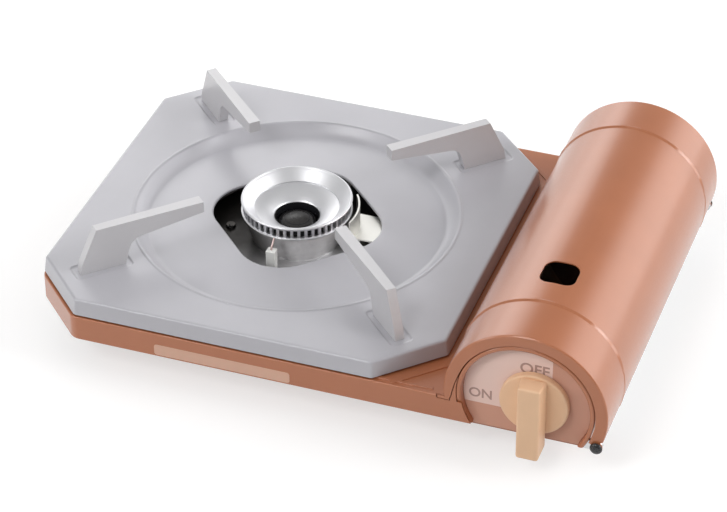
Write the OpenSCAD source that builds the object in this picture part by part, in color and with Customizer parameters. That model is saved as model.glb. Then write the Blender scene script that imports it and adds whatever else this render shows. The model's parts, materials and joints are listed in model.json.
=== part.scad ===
// Butane cassette stove: a pressed case with a lift-off drip tray and trivet, a slotted
// burner, a gas cartridge bay under a hinged cover, and the valve, regulator and igniter.
// Millimetres, +Z up, knob towards -Y. The origin is the bottom centre of the stove's box.

/* [Case] */
// Depth of the case from its front wall to its back wall
case_depth = 242; // [230:1:254]
// Height of the deck above the table
deck_z = 36; // [35:0.5:38]
// Height of the case's lower edge above the table
hem_z = 21; // [19:0.5:23]
// Leg of the cut-off corners on the left
corner_cut = 32; // [26:1:38]
// Thickness of the pressed sheet
sheet = 0.8; // [0.6:0.1:1]
// Height of the base pan's underside
pan_z = 12; // [11:0.25:12.5]
// How far the base pan stands in from the case walls
pan_inset = 12; // [10:0.5:14]
// Radius of the deck's opening under the tray
deck_opening_r = 62; // [60:0.5:66]

/* [Cartridge bay] */
// Outer radius of the cover
cover_r = 46; // [45.5:0.5:48]
// Distance from the burner's axis to the cover's axis
cover_offset = 174; // [172:1:182]
// Height of the cover's axis above the table
cover_axis_z = 41; // [40:0.5:42]
// Gap between the cover and what it closes on
cover_gap = 0.4; // [0.3:0.05:0.6]
// How far the cover's rear end stands in from the back wall
cover_setback = 3; // [3:0.1:5]
// Outer radius of the fixed drum behind the dial
drum_r = 38.5; // [38.2:0.1:39]
// Distance of the cartridge's axis to the right of the cover's axis
can_shift_x = 4.7; // [4:0.1:5]
// Distance of the cartridge's axis above the cover's axis
can_shift_z = 2; // [1.5:0.1:2.5]
// Diameter of the gas cartridge
can_d = 68; // [66:0.5:68.5]
// Length of the cartridge from its base to the collar's face
can_len = 198; // [190:1:198]
// Gap between the cartridge and the trough
trough_gap = 1; // [1:0.1:1.5]
// Radius of the socket that takes the cartridge's collar
socket_r = 16.3; // [15.5:0.1:16.8]
// Depth of that socket
socket_depth = 4.5; // [3:0.25:5]
// Distance of the hinge axis to the right of the cover's axis
hinge_dx = 40.2; // [40:0.1:40.6]
// Distance of the hinge axis below the cover's axis
hinge_dz = 17.5; // [17:0.25:18]
// Radius of the hinge pins
hinge_pin_r = 1.5; // [1.2:0.1:1.6]
// Width of the sight slot in the cover
slot_w = 20; // [14:0.5:24]
// Distance of the sight slot from the cover's front end
slot_y = 61; // [50:1:80]

/* [Dial and knob] */
// Depth of the dial panel behind the front wall
panel_recess = 4.5; // [3.5:0.25:5]
// Radius of the dial panel
panel_r = 35.6; // [34:0.1:35.8]
// Radius of the knob's disc
knob_r = 19.2; // [16:0.2:21]
// Thickness of the knob's disc
knob_disc_t = 4.2; // [3.5:0.1:5]
// How far the knob's grip stands out from its disc
grip_depth = 10.3; // [8:0.1:14]
// Width of the grip at its front
grip_w = 12.4; // [9:0.2:15]
// Length of the grip above the spindle
grip_up = 17.4; // [14:0.2:18]
// Length of the grip below the spindle
grip_down = 29.8; // [22:0.2:32]
// Radius of the valve spindle
spindle_r = 3; // [2.5:0.1:3.4]

/* [Drip tray and trivet] */
// Height of the tray's top face
tray_top_z = 47; // [46.5:0.25:49]
// Depth of the pressed pads under the trivet's feet
pad_depth = 0.5; // [0.3:0.1:0.5]
// Gap between the tray's skirt and the deck
skirt_gap = 1.3; // [1:0.1:2]
// Radius of the tray's dish
dish_r = 93.5; // [90:0.5:94]
// Drop of the dish at its outer foot
dish_drop = 5.9; // [4.5:0.1:6.2]
// Radial width of the dish's curved wall
dish_wall = 8; // [6:0.5:10]
// Rise of the dish's floor towards the opening
dish_rise = 2.8; // [1.5:0.1:3.5]
// Distance of the opening's straight sides from the burner's axis
opening_half = 43; // [41:0.5:45]
// Corner radius of the opening
opening_round = 26; // [20:1:32]
// Height of the trivet's top above the table
trivet_top = 74; // [71:0.5:78]
// Distance from the burner's axis to the tips of the trivet arms
arm_tip_r = 59; // [55:0.5:64]
// Distance from the burner's axis to the outer face of the feet
arm_out_r = 134.3; // [130:0.1:135]
// Width of an arm at its tip
arm_tip_w = 7; // [6.5:0.25:9]
// Width of an arm at its foot
arm_foot_w = 5.5; // [5:0.25:7]
// Thickness of the arm's sheet
arm_sheet = 1.2; // [1:0.1:1.5]

/* [Burner] */
// Height of the burner's rim above the table
rim_z = 57.5; // [56:0.25:60]
// Radius of the burner's rim
rim_r = 32.2; // [30:0.2:34]
// Radius of the burner's centre hole
eye_r = 13.1; // [12:0.1:15]
// Number of flame ports round the burner
port_count = 48; // [36:2:54]
// Width of a flame port
port_w = 2.3; // [1.8:0.1:2.6]
// Height of a flame port
port_h = 4.8; // [4:0.1:5.2]
// Height of the heat shield's floor above the table
shield_z = 31; // [30.8:0.1:31.6]
// Outer radius of the mixing tube
tube_r = 6.5; // [5.5:0.1:6.8]
// Height of the mixing tube's axis above the table
tube_z = 21.5; // [21:0.1:22]

/* [Igniter] */
// Travel of the igniter's plunger
plunger_stroke = 5; // [3:0.25:5.5]
// Angle that the knob turns from OFF to ON
knob_turn = 90; // [80:5:100]
// Radius of the cam where the plunger rests
cam_r = 7; // [6:0.25:8]

/* [Hidden] */
$fn = 64;
hull_fn = 32;
eps = 0.01;
big = 400;
running_gap = 0.05;
seat_gap = 0.02;

knob_gap = 0.4;
knob_reach = knob_disc_t + knob_gap + grip_depth - panel_recess;
overall_w = case_depth / 2 + cover_offset + cover_r;
overall_d = case_depth + knob_reach;
wall_left = -overall_w / 2;
wall_front = -overall_d / 2 + knob_reach;
wall_back = overall_d / 2;
burner_x = wall_left + case_depth / 2;
burner_y = wall_front + case_depth / 2;
cover_x = burner_x + cover_offset;
cover_z = cover_axis_z;
hinge_x = cover_x + hinge_dx;
hinge_z = cover_z - hinge_dz;
hinge_d = norm([hinge_dx, hinge_dz]);
can_x = cover_x + can_shift_x;
can_z = cover_z + can_shift_z;

cover_rear = wall_back - cover_setback;
trough_r = can_d / 2 + trough_gap;
trough_rear = cover_rear - sheet - cover_gap;
can_end_gap = 1.1;
partition_y = trough_rear - sheet - can_end_gap - can_len;
partition_t = 1.2;
drum_end = partition_y - partition_t;
trough_front = drum_end + 0.3;
bay_x = can_x - sqrt(pow(trough_r, 2) - pow(can_z - deck_z, 2));
back_right = hinge_x - 4.5;
drum_inner_r = drum_r - sheet;
drum_foot_x = cover_x - sqrt(pow(drum_inner_r, 2) - pow(cover_z - deck_z, 2));
tub_right = cover_x + sqrt(pow(drum_r, 2) - pow(cover_z - hem_z, 2)) - 0.4;

lug_r = 3.2;
bracket_t = 2;
bracket_r = 3;
bead_h = 0.3;
shell_r = cover_r - bead_h;
fold_r = 1.3;
shell_end_z = hinge_z + 3.5;
tab_h = 1.6;
tab_x = cover_x - cover_r - 2.8;
tab_right = hinge_x - sqrt(pow(hinge_d + drum_r + 2 * cover_gap, 2) - pow(deck_z - hinge_z, 2));
split_z = deck_z - tab_h - 0.5;

panel_t = 1.5;
panel_y = wall_front + panel_recess;
knob_back = panel_y - knob_gap;
knob_face = knob_back - knob_disc_t;
grip_face = knob_face - grip_depth;
cam_y = panel_y + panel_t + 0.6;
piezo_half_y = 4.2;
cam_t = 4;
piezo_y = cam_y + piezo_half_y;
bulkhead_y = piezo_y + piezo_half_y;
bulkhead_t = 1.2;
valve_y = bulkhead_y + bulkhead_t;
valve_len = 6.6;
cap_y = valve_y + valve_len;
flange_r = 26;
socket_y = drum_end - socket_depth;
diaphragm_t = 0.6;

jet_x = can_x - 25;
jet_y = valve_y + valve_len / 2;
tube_len = norm([burner_x - jet_x, burner_y - jet_y]);
tube_dir = atan2(burner_y - jet_y, burner_x - jet_x);
horn_r = tube_r + 1.7;

tray_half = case_depth / 2 - 0.4;
tray_cut = corner_cut + 0.4;
tray_t = 0.8;
skirt_z = deck_z + skirt_gap;
dish_low_z = tray_top_z - dish_drop;
foot_z = tray_top_z - pad_depth;
arm_foot_len = 27;
arm_top_out = arm_out_r - 10.7;
shoulder_z = foot_z + 6;

ring_top = rim_z - 1.7;
ring_low = ring_top - port_h - 1.5;
base_top = ring_low;
shield_hole_r = 23;
base_seat_r = 26.2;
cam_rise = plunger_stroke / knob_turn;
plunger_gap = 0.3;
plunger_r = 2.5;
piezo_front = can_x - cam_r - plunger_stroke - 2;
piezo_len = 19.5;
lead_r = 1.4;

// ---- Helpers ----

// A front-view outline (x, z) made solid from y0 to y1
module along_y(y0, y1) {
    translate([0, y1, 0]) rotate([90, 0, 0]) linear_extrude(y1 - y0) children();
}

// A profile (radius, y) turned about an axis along Y
module about_y(x, z) {
    translate([x, 0, z]) rotate([-90, 0, 0]) rotate_extrude() children();
}

// A round bar along Y
module bar_y(r, y0, y1, x, z) {
    translate([x, y0, z]) rotate([-90, 0, 0]) cylinder(r = r, h = y1 - y0);
}

// A round bar along Z
module bar_z(r, z0, z1, x, y) {
    translate([x, y, z0]) cylinder(r = r, h = z1 - z0);
}

module box(x0, x1, y0, y1, z0, z1) {
    translate([x0, y0, z0]) cube([x1 - x0, y1 - y0, z1 - z0]);
}

module at_burner() {
    translate([burner_x, burner_y, 0]) children();
}

// Everything below runs along the mixing tube: +X from the jet to the burner
module along_tube() {
    translate([jet_x, jet_y, tube_z]) rotate([0, 0, tube_dir]) children();
}

module about_tube() {
    along_tube() rotate([0, 90, 0]) rotate_extrude() children();
}

module square_rounded(half, r) {
    union() {
        square([2 * half, 2 * (half - r)], center = true);
        square([2 * (half - r), 2 * half], center = true);
        for (x = [-1, 1], y = [-1, 1]) {
            translate([x * (half - r), y * (half - r)]) circle(r = r);
        }
    }
}

function octagon(half, cut) = [
    [-half, -half + cut], [-half + cut, -half], [half - cut, -half], [half, -half + cut],
    [half, half - cut], [half - cut, half], [-half + cut, half], [-half, half - cut]];

// Plan of the case, moved in from its walls, with the left corners cut off
module case_plan(inset, right) {
    slant = corner_cut + inset * tan(22.5);
    polygon([
        [wall_left + inset, wall_front + slant], [wall_left + slant, wall_front + inset],
        [right, wall_front + inset], [right, wall_back - inset],
        [wall_left + slant, wall_back - inset], [wall_left + inset, wall_back - slant]]);
}

// ---- Front view outlines of the drum and the cover ----

// Area beside the drum's lower left that the opening cover swings round. It starts at the
// line from the hinge through the drum's axis, turned down by an angle.
module relief(grow, turned) {
    reach = 2 * cover_r;
    angle = 180 - atan2(hinge_dz, hinge_dx) + turned;
    intersection() {
        translate([hinge_x, hinge_z]) circle(r = hinge_d + drum_r + grow);
        polygon([[cover_x, cover_z], [cover_x + reach * cos(angle), cover_z + reach * sin(angle)],
            [cover_x - reach, deck_z - 3], [cover_x, deck_z - 3]]);
    }
}

// Part of the front view that the cover keeps: above the deck on the left and above the
// line from its axis to the hinge on the right
module cover_mask() {
    reach = [hinge_dx, -hinge_dz] * 2 * cover_r / hinge_d;
    polygon([[cover_x + reach[0], cover_z + reach[1]], [cover_x, cover_z],
        [cover_x, deck_z + cover_gap], [cover_x - 2 * cover_r, deck_z + cover_gap],
        [cover_x - 2 * cover_r, cover_z + 2 * cover_r],
        [cover_x + 2 * cover_r, cover_z + 2 * cover_r]]);
}

module flange_outline() {
    difference() {
        union() {
            intersection() {
                difference() {
                    translate([cover_x, cover_z]) circle(r = shell_r - fold_r);
                    translate([cover_x, cover_z]) circle(r = drum_r + cover_gap);
                    relief(cover_gap, 0);
                }
                cover_mask();
            }
            translate([hinge_x, hinge_z]) circle(r = lug_r);
        }
        translate([hinge_x, hinge_z]) circle(r = hinge_pin_r + running_gap);
    }
}

// Finger tab at the left end of the cover's front flange
module tab_outline() {
    riser_w = 2.6;
    translate([tab_x, deck_z - tab_h]) square([tab_right - tab_x, tab_h]);
    translate([tab_right - riser_w, deck_z - tab_h]) square([riser_w, tab_h + 3]);
}

// ---- Case ----

module burner_opening() {
    at_burner() cylinder(r = deck_opening_r, h = big, center = true);
}

module tray_pads() {
    pad_top = dish_low_z - tray_t;
    for (a = [0 : 90 : 270]) {
        at_burner() rotate([0, 0, a]) translate([dish_r - dish_wall, 0, 0]) difference() {
            translate([0, 0, deck_z - eps]) cylinder(r1 = 7, r2 = 4.5, h = pad_top - deck_z + eps);
            translate([0, 0, deck_z - 1]) cylinder(r1 = 6.4, r2 = 3.7, h = pad_top - deck_z + 1 - sheet);
        }
    }
}

// Pressed beads: round the tray's right corners and side, and along the deck's front edge
module deck_bead() {
    bead_w = 1.8;
    bead_h = 0.6;
    bead_half = tray_half + 2.8;
    intersection() {
        at_burner() translate([0, 0, deck_z - eps]) linear_extrude(bead_h + eps) difference() {
            polygon(octagon(bead_half + bead_w / 2, tray_cut - 3.2));
            polygon(octagon(bead_half - bead_w / 2, tray_cut - 2.4));
        }
        box(burner_x, tab_x - 0.5, wall_front + 1.5, wall_back - 1.5, 0, big);
    }
    box(burner_x + 74.5, tab_x - 3.7, wall_front + 3.2, wall_front + 3.2 + bead_w, deck_z - eps, deck_z + bead_h);
}

module shell_walls() {
    translate([0, 0, hem_z]) linear_extrude(deck_z - hem_z) difference() {
        case_plan(0, bay_x);
        case_plan(sheet, bay_x + 1);
    }
}

module upper_shell() {
    color([0.75, 0.46, 0.33]) difference() {
        union() {
            difference() {
                translate([0, 0, deck_z - sheet]) linear_extrude(sheet) case_plan(0, bay_x);
                burner_opening();
                at_burner() for (a = [0 : 90 : 270]) {
                    rotate([0, 0, a]) translate([dish_r - dish_wall, 0, deck_z - 2]) cylinder(r = 6.2, h = 4);
                }
            }
            shell_walls();
            tray_pads();
            deck_bead();
            along_y(wall_front, wall_front + sheet) difference() {
                union() {
                    translate([bay_x - 12, hem_z]) square([12 + drum_r, deck_z - hem_z]);
                    relief(0, 9);
                }
                translate([cover_x, 0]) square([big, big]);
                translate([0, -big + hem_z]) square([big, big]);
            }
            box(bay_x - 1, back_right, wall_back - sheet, wall_back, hem_z, deck_z);
            box(bay_x - 1, back_right, cover_rear + 0.5, wall_back, deck_z - sheet, deck_z);
            box(back_right - sheet, back_right, cover_rear + 0.5, wall_back, hem_z, deck_z);
        }
        // Notch for the cover's finger tab
        box(tab_x - 0.6, tab_right + cover_gap, wall_front - 1, wall_front + sheet + 0.6, split_z, deck_z + eps);
        // Seat of the front boss: above the split the ring stands in the wall, below it the wall
        // runs to the dial
        bar_y(panel_r + 0.3, wall_front - 1, wall_front + 2, cover_x, cover_z);
        bar_y(drum_r, wall_front + sheet, panel_y + panel_t + sheet + 0.3, cover_x, cover_z);
        difference() {
            bar_y(drum_r, wall_front - 1, wall_front + 2, cover_x, cover_z);
            box(-big, big, -big, big, -big, split_z);
        }
        // Clearance behind the drum's wall for the igniter's lead
        box(drum_foot_x, bay_x + 1, wall_front + 3, drum_end, deck_z - 2, deck_z + 1);
    }
}

module trough_cut() {
    bar_y(trough_r + sheet, drum_end, big, can_x, can_z);
}

// Plan of the base pan: beside the trough it ends under it, in front it closes the valve
// compartment
module pan_plan(inset) {
    intersection() {
        case_plan(pan_inset + inset, tub_right - inset);
        translate([wall_left, wall_front]) union() {
            square([can_x - wall_left, case_depth]);
            square([big, drum_end - wall_front - inset]);
        }
    }
}

module bottom_pan() {
    wall_top = hem_z + 1;
    color([0.72, 0.72, 0.74]) difference() {
        union() {
            translate([0, 0, pan_z]) linear_extrude(wall_top - pan_z) difference() {
                pan_plan(0);
                pan_plan(sheet);
            }
            translate([0, 0, pan_z]) linear_extrude(sheet) pan_plan(0);
            translate([0, 0, wall_top]) linear_extrude(sheet) difference() {
                case_plan(sheet + 0.1, can_x);
                pan_plan(sheet);
            }
        }
        trough_cut();
        box(can_x - trough_r - sheet, big, drum_end, big, pan_z + sheet, big);
        // The valve compartment's walls end under the drum
        box(cover_x - drum_r - 2, big, -big, drum_end + 1, hem_z - 0.4, big);
        // Air slots round the burner
        at_burner() for (a = [30 : 60 : 330]) {
            rotate([0, 0, a]) translate([62, 0, 0]) linear_extrude(big) {
                square([26, 5], center = true);
                translate([13, 0]) circle(r = 2.5);
                translate([-13, 0]) circle(r = 2.5);
            }
        }
        for (p = standoff_places) bar_z(2.1, 0, big, p[0], p[1]);
    }
}

// Trough that carries the cartridge, from the partition to its own rear wall
module cartridge_trough() {
    color([0.7, 0.7, 0.72]) difference() {
        union() {
            bar_y(trough_r + sheet, trough_front, trough_rear, can_x, can_z);
            box(bay_x - 6, bay_x + 4, drum_end + 2, trough_rear, deck_z - 2 * sheet, deck_z - sheet);
        }
        bar_y(trough_r, -big, trough_rear - sheet, can_x, can_z);
        // Open above the deck on the left and above the axis on the right
        box(0, can_x, -big, big, deck_z - sheet, big);
        box(can_x - eps, big, -big, big, can_z, big);
        box(can_x - eps, can_x + trough_r - 4, trough_rear - sheet - eps, big, deck_z, big);
        // Way for the heat panel
        box(can_x - big, can_x, panel_strip_y - panel_strip_w / 2 - 0.3, panel_strip_y + panel_strip_w / 2 + 0.3,
            strip_low_z - 0.3, strip_low_z + strip_t + 0.3);
    }
}

// Round front of the case: a rolled ring that frames the dial, and the drum behind it
module front_boss() {
    lip = 1.1;
    shelf_y = panel_y + panel_t;
    color([0.78, 0.5, 0.37]) difference() {
        about_y(cover_x, cover_z) polygon([
            [drum_r, wall_front + lip], [drum_r - 0.35, wall_front + 0.3], [drum_r - lip, wall_front],
            [panel_r + 1.1, wall_front], [panel_r + 0.4, wall_front + 0.3], [panel_r + 0.05, wall_front + lip],
            [panel_r + 0.05, shelf_y], [panel_r - 3, shelf_y], [panel_r - 3, shelf_y + sheet],
            [drum_inner_r, shelf_y + sheet], [drum_inner_r, drum_end], [drum_r, drum_end]]);
        box(-big, big, -big, big, -big, hem_z);
        box(-big, cover_x, shelf_y + sheet, big, -big, deck_z);
        box(-big, cover_x, -big, wall_front + lip, -big, deck_z);
        box(cover_x - eps, cover_x + 20, shelf_y + sheet, big, -big, deck_z);
        // The heat and lead sides stay open below the deck
        box(cover_x, big, shelf_y + 2, big, -big, hem_z + 6);
    }
}

module dial_panel() {
    color([0.72, 0.55, 0.47]) difference() {
        bar_y(panel_r, panel_y, panel_y + panel_t, cover_x, cover_z);
        box(-big, big, -big, big, -big, hem_z + 0.3);
        bar_y(spindle_r + 1, -big, big, can_x, can_z);
    }
}

// ---- Valve compartment ----

valve_screw_dx = 8.5;

module bulkhead() {
    color([0.7, 0.7, 0.72]) difference() {
        bar_y(drum_inner_r - 0.1, bulkhead_y, bulkhead_y + bulkhead_t, cover_x, cover_z);
        box(-big, big, -big, big, -big, hem_z + 6);
        bar_y(spindle_r + 2, -big, big, can_x, can_z);
        for (s = [-1, 1]) bar_y(1.6, -big, big, can_x + s * valve_screw_dx, can_z + 8.5);
    }
}

module partition_plate() {
    color([0.74, 0.74, 0.76]) along_y(drum_end, partition_y) difference() {
        union() {
            intersection() {
                translate([cover_x, cover_z]) circle(r = drum_inner_r - 0.1);
                translate([0, deck_z + 0.2]) square([big, big]);
            }
            intersection() {
                translate([can_x, can_z]) circle(r = trough_r - 0.1);
                square([big, deck_z + 0.3]);
            }
        }
        translate([can_x, can_z]) circle(r = socket_r + 1.2);
        translate([can_x, can_z + key_up]) circle(r = key_r + seat_gap);
        for (s = [-1, 1]) translate([can_x + s * magnet_dx, can_z]) circle(r = magnet_r + seat_gap);
    }
}

key_r = 1.2;
key_up = socket_r + 3.4;
magnet_r = 4;
magnet_dx = socket_r + 8.2;

module magnets() {
    color([0.25, 0.25, 0.27]) for (s = [-1, 1]) {
        bar_y(magnet_r, drum_end - 1.8, partition_y, can_x + s * magnet_dx, can_z);
    }
}

module guide_key() {
    color([0.8, 0.8, 0.82]) {
        bar_y(key_r, drum_end, partition_y + 2.6, can_x, can_z + key_up);
        translate([can_x, partition_y + 2.6, can_z + key_up]) rotate([-90, 0, 0])
            cylinder(r1 = key_r, r2 = key_r / 2, h = 1);
    }
}

module regulator_body() {
    body_r = socket_r + 2.7;
    color([0.72, 0.72, 0.7]) difference() {
        about_y(can_x, can_z) polygon([
            [0, cap_y + 5.6], [flange_r, cap_y + 5.6], [flange_r, cap_y + 7.6],
            [body_r + 1.5, cap_y + 7.6], [body_r, cap_y + 9.1], [body_r, drum_end], [0, drum_end]]);
        bar_y(socket_r, socket_y, drum_end + 1, can_x, can_z);
        bar_y(6, socket_y - 2, socket_y + 1, can_x, can_z);
        bar_y(1.6, cap_y, drum_end, can_x, can_z);
        regulator_holes(1.3);
    }
}

module regulator_holes(r) {
    for (a = [45 : 90 : 315]) {
        bar_y(r, cap_y + 1, drum_end, can_x + (flange_r - 3) * cos(a), can_z + (flange_r - 3) * sin(a));
    }
}

module regulator_cap() {
    color([0.66, 0.66, 0.65]) difference() {
        about_y(can_x, can_z) polygon([
            [0, cap_y], [12, cap_y], [16.5, cap_y + 1], [19.5, cap_y + 3], [flange_r, cap_y + 3],
            [flange_r, cap_y + 5], [17, cap_y + 5], [14, cap_y + 2.2], [0, cap_y + 2.2]]);
        regulator_holes(1.3);
    }
}

module diaphragm() {
    color([0.15, 0.15, 0.15]) difference() {
        bar_y(flange_r, cap_y + 5, cap_y + 5 + diaphragm_t, can_x, can_z);
        regulator_holes(1.4);
        bar_y(1, cap_y, drum_end, can_x, can_z);
    }
}

module regulator_screws() {
    color([0.8, 0.8, 0.82]) for (a = [45 : 90 : 315]) {
        x = can_x + (flange_r - 3) * cos(a);
        z = can_z + (flange_r - 3) * sin(a);
        bar_y(1.25, cap_y + 3, cap_y + 7.6, x, z);
        bar_y(2.4, cap_y + 1.4, cap_y + 3, x, z);
    }
}

module inlet_seal() {
    color([0.12, 0.12, 0.12]) difference() {
        bar_y(5.9, socket_y - 2, socket_y, can_x, can_z);
        bar_y(2.2, -big, big, can_x, can_z);
    }
}

module gas_valve() {
    arm = [jet_x - can_x, 0, tube_z - can_z];
    color([0.79, 0.66, 0.35]) difference() {
        union() {
            bar_y(10, valve_y, cap_y, can_x, can_z);
            along_y(valve_y, valve_y + 2) hull() {
                for (s = [-1, 1]) translate([can_x + s * valve_screw_dx, can_z + 8.5]) circle(r = 3.6, $fn = hull_fn);
                translate([can_x, can_z]) circle(r = 8, $fn = hull_fn);
            }
            translate([can_x, jet_y, can_z]) rotate([0, 90 - atan2(arm[2], arm[0]), 0])
                cylinder(r = 3, h = norm(arm));
            along_tube() rotate([0, 90, 0]) translate([0, 0, -6]) cylinder(r = 4.4, h = 13);
        }
        bar_y(spindle_r + running_gap, valve_y - 1, valve_y + valve_len - 1.5, can_x, can_z);
        for (s = [-1, 1]) bar_y(1.3, valve_y - 1, valve_y + 3, can_x + s * valve_screw_dx, can_z + 8.5);
        along_tube() rotate([0, 90, 0]) translate([0, 0, 2]) cylinder(r = 2.2, h = 6);
    }
}

module jet() {
    color([0.85, 0.74, 0.42]) difference() {
        about_tube() polygon([[0, 3], [2.18, 3], [2.18, 7], [3.4, 7], [3.4, 10], [2, 12], [1.2, 15], [0, 15]]);
        along_tube() rotate([0, 90, 0]) cylinder(r = 0.6, h = 30);
    }
}

// Venturi from the bell mouth behind the jet to the burner's horn
module mixing_tube() {
    mouth = 17;
    bell = mouth + 12;
    finish = tube_len - 26;
    wall = 0.8;
    color([0.74, 0.74, 0.76]) difference() {
        about_tube() polygon([
            [tube_r + 1.8, mouth], [tube_r + 1.8, mouth + 1], [tube_r + 0.6, mouth + 5], [tube_r - 1, bell],
            [tube_r - 1, bell + 14], [tube_r, bell + 44], [tube_r, finish], [tube_r - wall, finish],
            [tube_r - wall, bell + 44], [tube_r - 1 - wall, bell + 14], [tube_r - 1 - wall, bell],
            [tube_r + 0.6 - wall, mouth + 5], [tube_r + 1.8 - wall, mouth]]);
    }
}

// ---- Burner ----

// Cast burner body: a deep cup with a horn that takes the mixing tube
module burner_base() {
    cup_r = rim_r - 1.2;
    color([0.78, 0.78, 0.8]) difference() {
        union() {
            at_burner() rotate_extrude() polygon([
                [0, tube_z - horn_r], [9, tube_z - horn_r], [12, tube_z - horn_r + 2], [12, shield_z - 6],
                [18, shield_z - 3], [shield_hole_r - 0.3, shield_z - 0.6], [shield_hole_r - 0.3, shield_z],
                [base_seat_r, shield_z], [base_seat_r, shield_z + 1.4],
                [base_seat_r + 1, shield_z + 3.5], [cup_r, base_top - 2.5],
                [rim_r, base_top - 1], [rim_r, base_top], [0, base_top]]);
            along_tube() rotate([0, 90, 0]) translate([0, 0, tube_len - 32]) cylinder(r = horn_r, h = 32);
        }
        at_burner() rotate_extrude() polygon([
            [0, tube_z], [tube_r, tube_z], [tube_r, shield_z - 4], [base_seat_r - 3.6, shield_z + 2],
            [base_seat_r, shield_z + 7], [cup_r - 2, base_top - 2], [cup_r - 2, base_top + 1], [0, base_top + 1]]);
        along_tube() rotate([0, 90, 0]) translate([0, 0, tube_len - 33]) cylinder(r = tube_r + seat_gap, h = 33);
    }
}

// Ring of flame ports
module burner_ring() {
    outer = rim_r - 0.8;
    color([0.7, 0.7, 0.72]) at_burner() difference() {
        rotate_extrude() polygon([
            [outer - 2, ring_low], [rim_r, ring_low], [rim_r, ring_low + 0.7], [outer, ring_low + 0.9],
            [outer, ring_top], [outer - 2, ring_top]]);
        for (i = [0 : port_count - 1]) {
            rotate([0, 0, i * 360 / port_count]) translate([outer - 4, -port_w / 2, ring_low + 1.1])
                cube([6, port_w, port_h]);
        }
    }
}

// Funnel-shaped cap in two slopes with a rolled rim and a spigot round the eye
module burner_cap() {
    wall = 1.1;
    step_r = 24;
    step_z = rim_z - 6.7;
    eye_z = rim_z - 12.3;
    color([0.88, 0.88, 0.9]) at_burner() rotate_extrude() polygon([
        [rim_r - 1.1, ring_top], [rim_r - 0.2, ring_top + 0.2], [rim_r, ring_top + 0.7],
        [rim_r - 0.2, rim_z - 0.4], [rim_r - 0.7, rim_z - 0.05], [rim_r - 1.3, rim_z - 0.1],
        [rim_r - 1.8, rim_z - 0.6], [step_r + 0.4, step_z + 0.4], [step_r - 0.4, step_z],
        [eye_r + 0.5, eye_z + 0.2], [eye_r, eye_z - 0.4], [eye_r, eye_z - 5],
        [eye_r + wall, eye_z - 5], [eye_r + wall, eye_z - wall], [step_r - 0.2, step_z - wall - 0.2],
        [step_r + 0.8, step_z - wall], [rim_r - 3.1, ring_top - 1.5], [rim_r - 3.1, ring_top]]);
}

// Dark dome in the eye, on a stem that stands on the cup's floor
module burner_core() {
    dome_z = rim_z - 13.4;
    color([0.12, 0.12, 0.13]) at_burner() {
        rotate_extrude() polygon(concat(
            [[0, dome_z - 7], [eye_r - 1.6, dome_z - 7]],
            [for (a = [0 : 15 : 90]) [(eye_r - 1) * cos(a), dome_z - 5.5 + 5.5 * sin(a)]]));
        for (a = [0 : 90 : 270]) {
            rotate([0, 0, a + 45]) translate([0, -1, shield_z + 2]) cube([base_seat_r - 4, 2, dome_z - 6.5 - shield_z - 2]);
        }
    }
}

bracket_turn = 7;
screw_ring = 40;

module burner_bracket() {
    half_w = 8;
    t = 1.2;
    top = shield_z - 0.6;
    floor_z = pan_z + sheet;
    color([0.66, 0.66, 0.68]) at_burner() rotate([0, 0, bracket_turn]) difference() {
        union() {
            for (s = [-1, 1]) {
                box(s * (screw_ring + 5) - t / 2, s * (screw_ring + 5) + t / 2, -half_w, half_w, floor_z, top);
            }
            for (s = [0, 1]) mirror([s, 0, 0]) {
                box(screw_ring - 5, screw_ring + 5, -half_w, half_w, top - t, top);
                box(screw_ring + 5, screw_ring + 17, -half_w, half_w, floor_z, floor_z + t);
            }
        }
        for (s = [-1, 1]) bar_z(1.7, 0, big, s * screw_ring, 0);
    }
}

module shield_screws() {
    color([0.8, 0.8, 0.82]) at_burner() rotate([0, 0, bracket_turn]) for (s = [-1, 1]) {
        bar_z(1.6, shield_z - 5, shield_z, s * screw_ring, 0);
        translate([s * screw_ring, 0, shield_z]) cylinder(r1 = 3.2, r2 = 2.6, h = 1.6);
    }
}

// Dished sheet that closes the deck's opening under the burner
module heat_shield() {
    t = 0.6;
    wall_r = deck_opening_r - 0.3;
    foot_r = wall_r - 3;
    color([0.08, 0.08, 0.08]) difference() {
        at_burner() rotate_extrude() polygon([
            [shield_hole_r, shield_z - t], [foot_r, shield_z - t], [wall_r - t / 2, deck_z - 0.4], [wall_r, deck_z],
            [deck_opening_r + 5, deck_z], [deck_opening_r + 5, deck_z + t], [wall_r - t, deck_z + t],
            [foot_r - t, shield_z], [shield_hole_r, shield_z]]);
        at_burner() rotate([0, 0, bracket_turn]) for (s = [-1, 1]) bar_z(1.7, 0, big, s * screw_ring, 0);
        bar_z(electrode_r + 0.2, 0, big, burner_x + electrode_dx, burner_y - electrode_dy);
        box(burner_x + 40, burner_x + deck_opening_r + 1, panel_strip_y - panel_strip_w / 2 - 0.3,
            panel_strip_y + panel_strip_w / 2 + 0.3, strip_low_z - 0.3, strip_low_z + strip_t + 0.3);
    }
}

strip_t = 1;
panel_strip_w = 24;
panel_strip_y = burner_y + 8;
strip_high_z = dish_low_z - 2.5;
strip_low_z = shield_z + 1.2;

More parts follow.
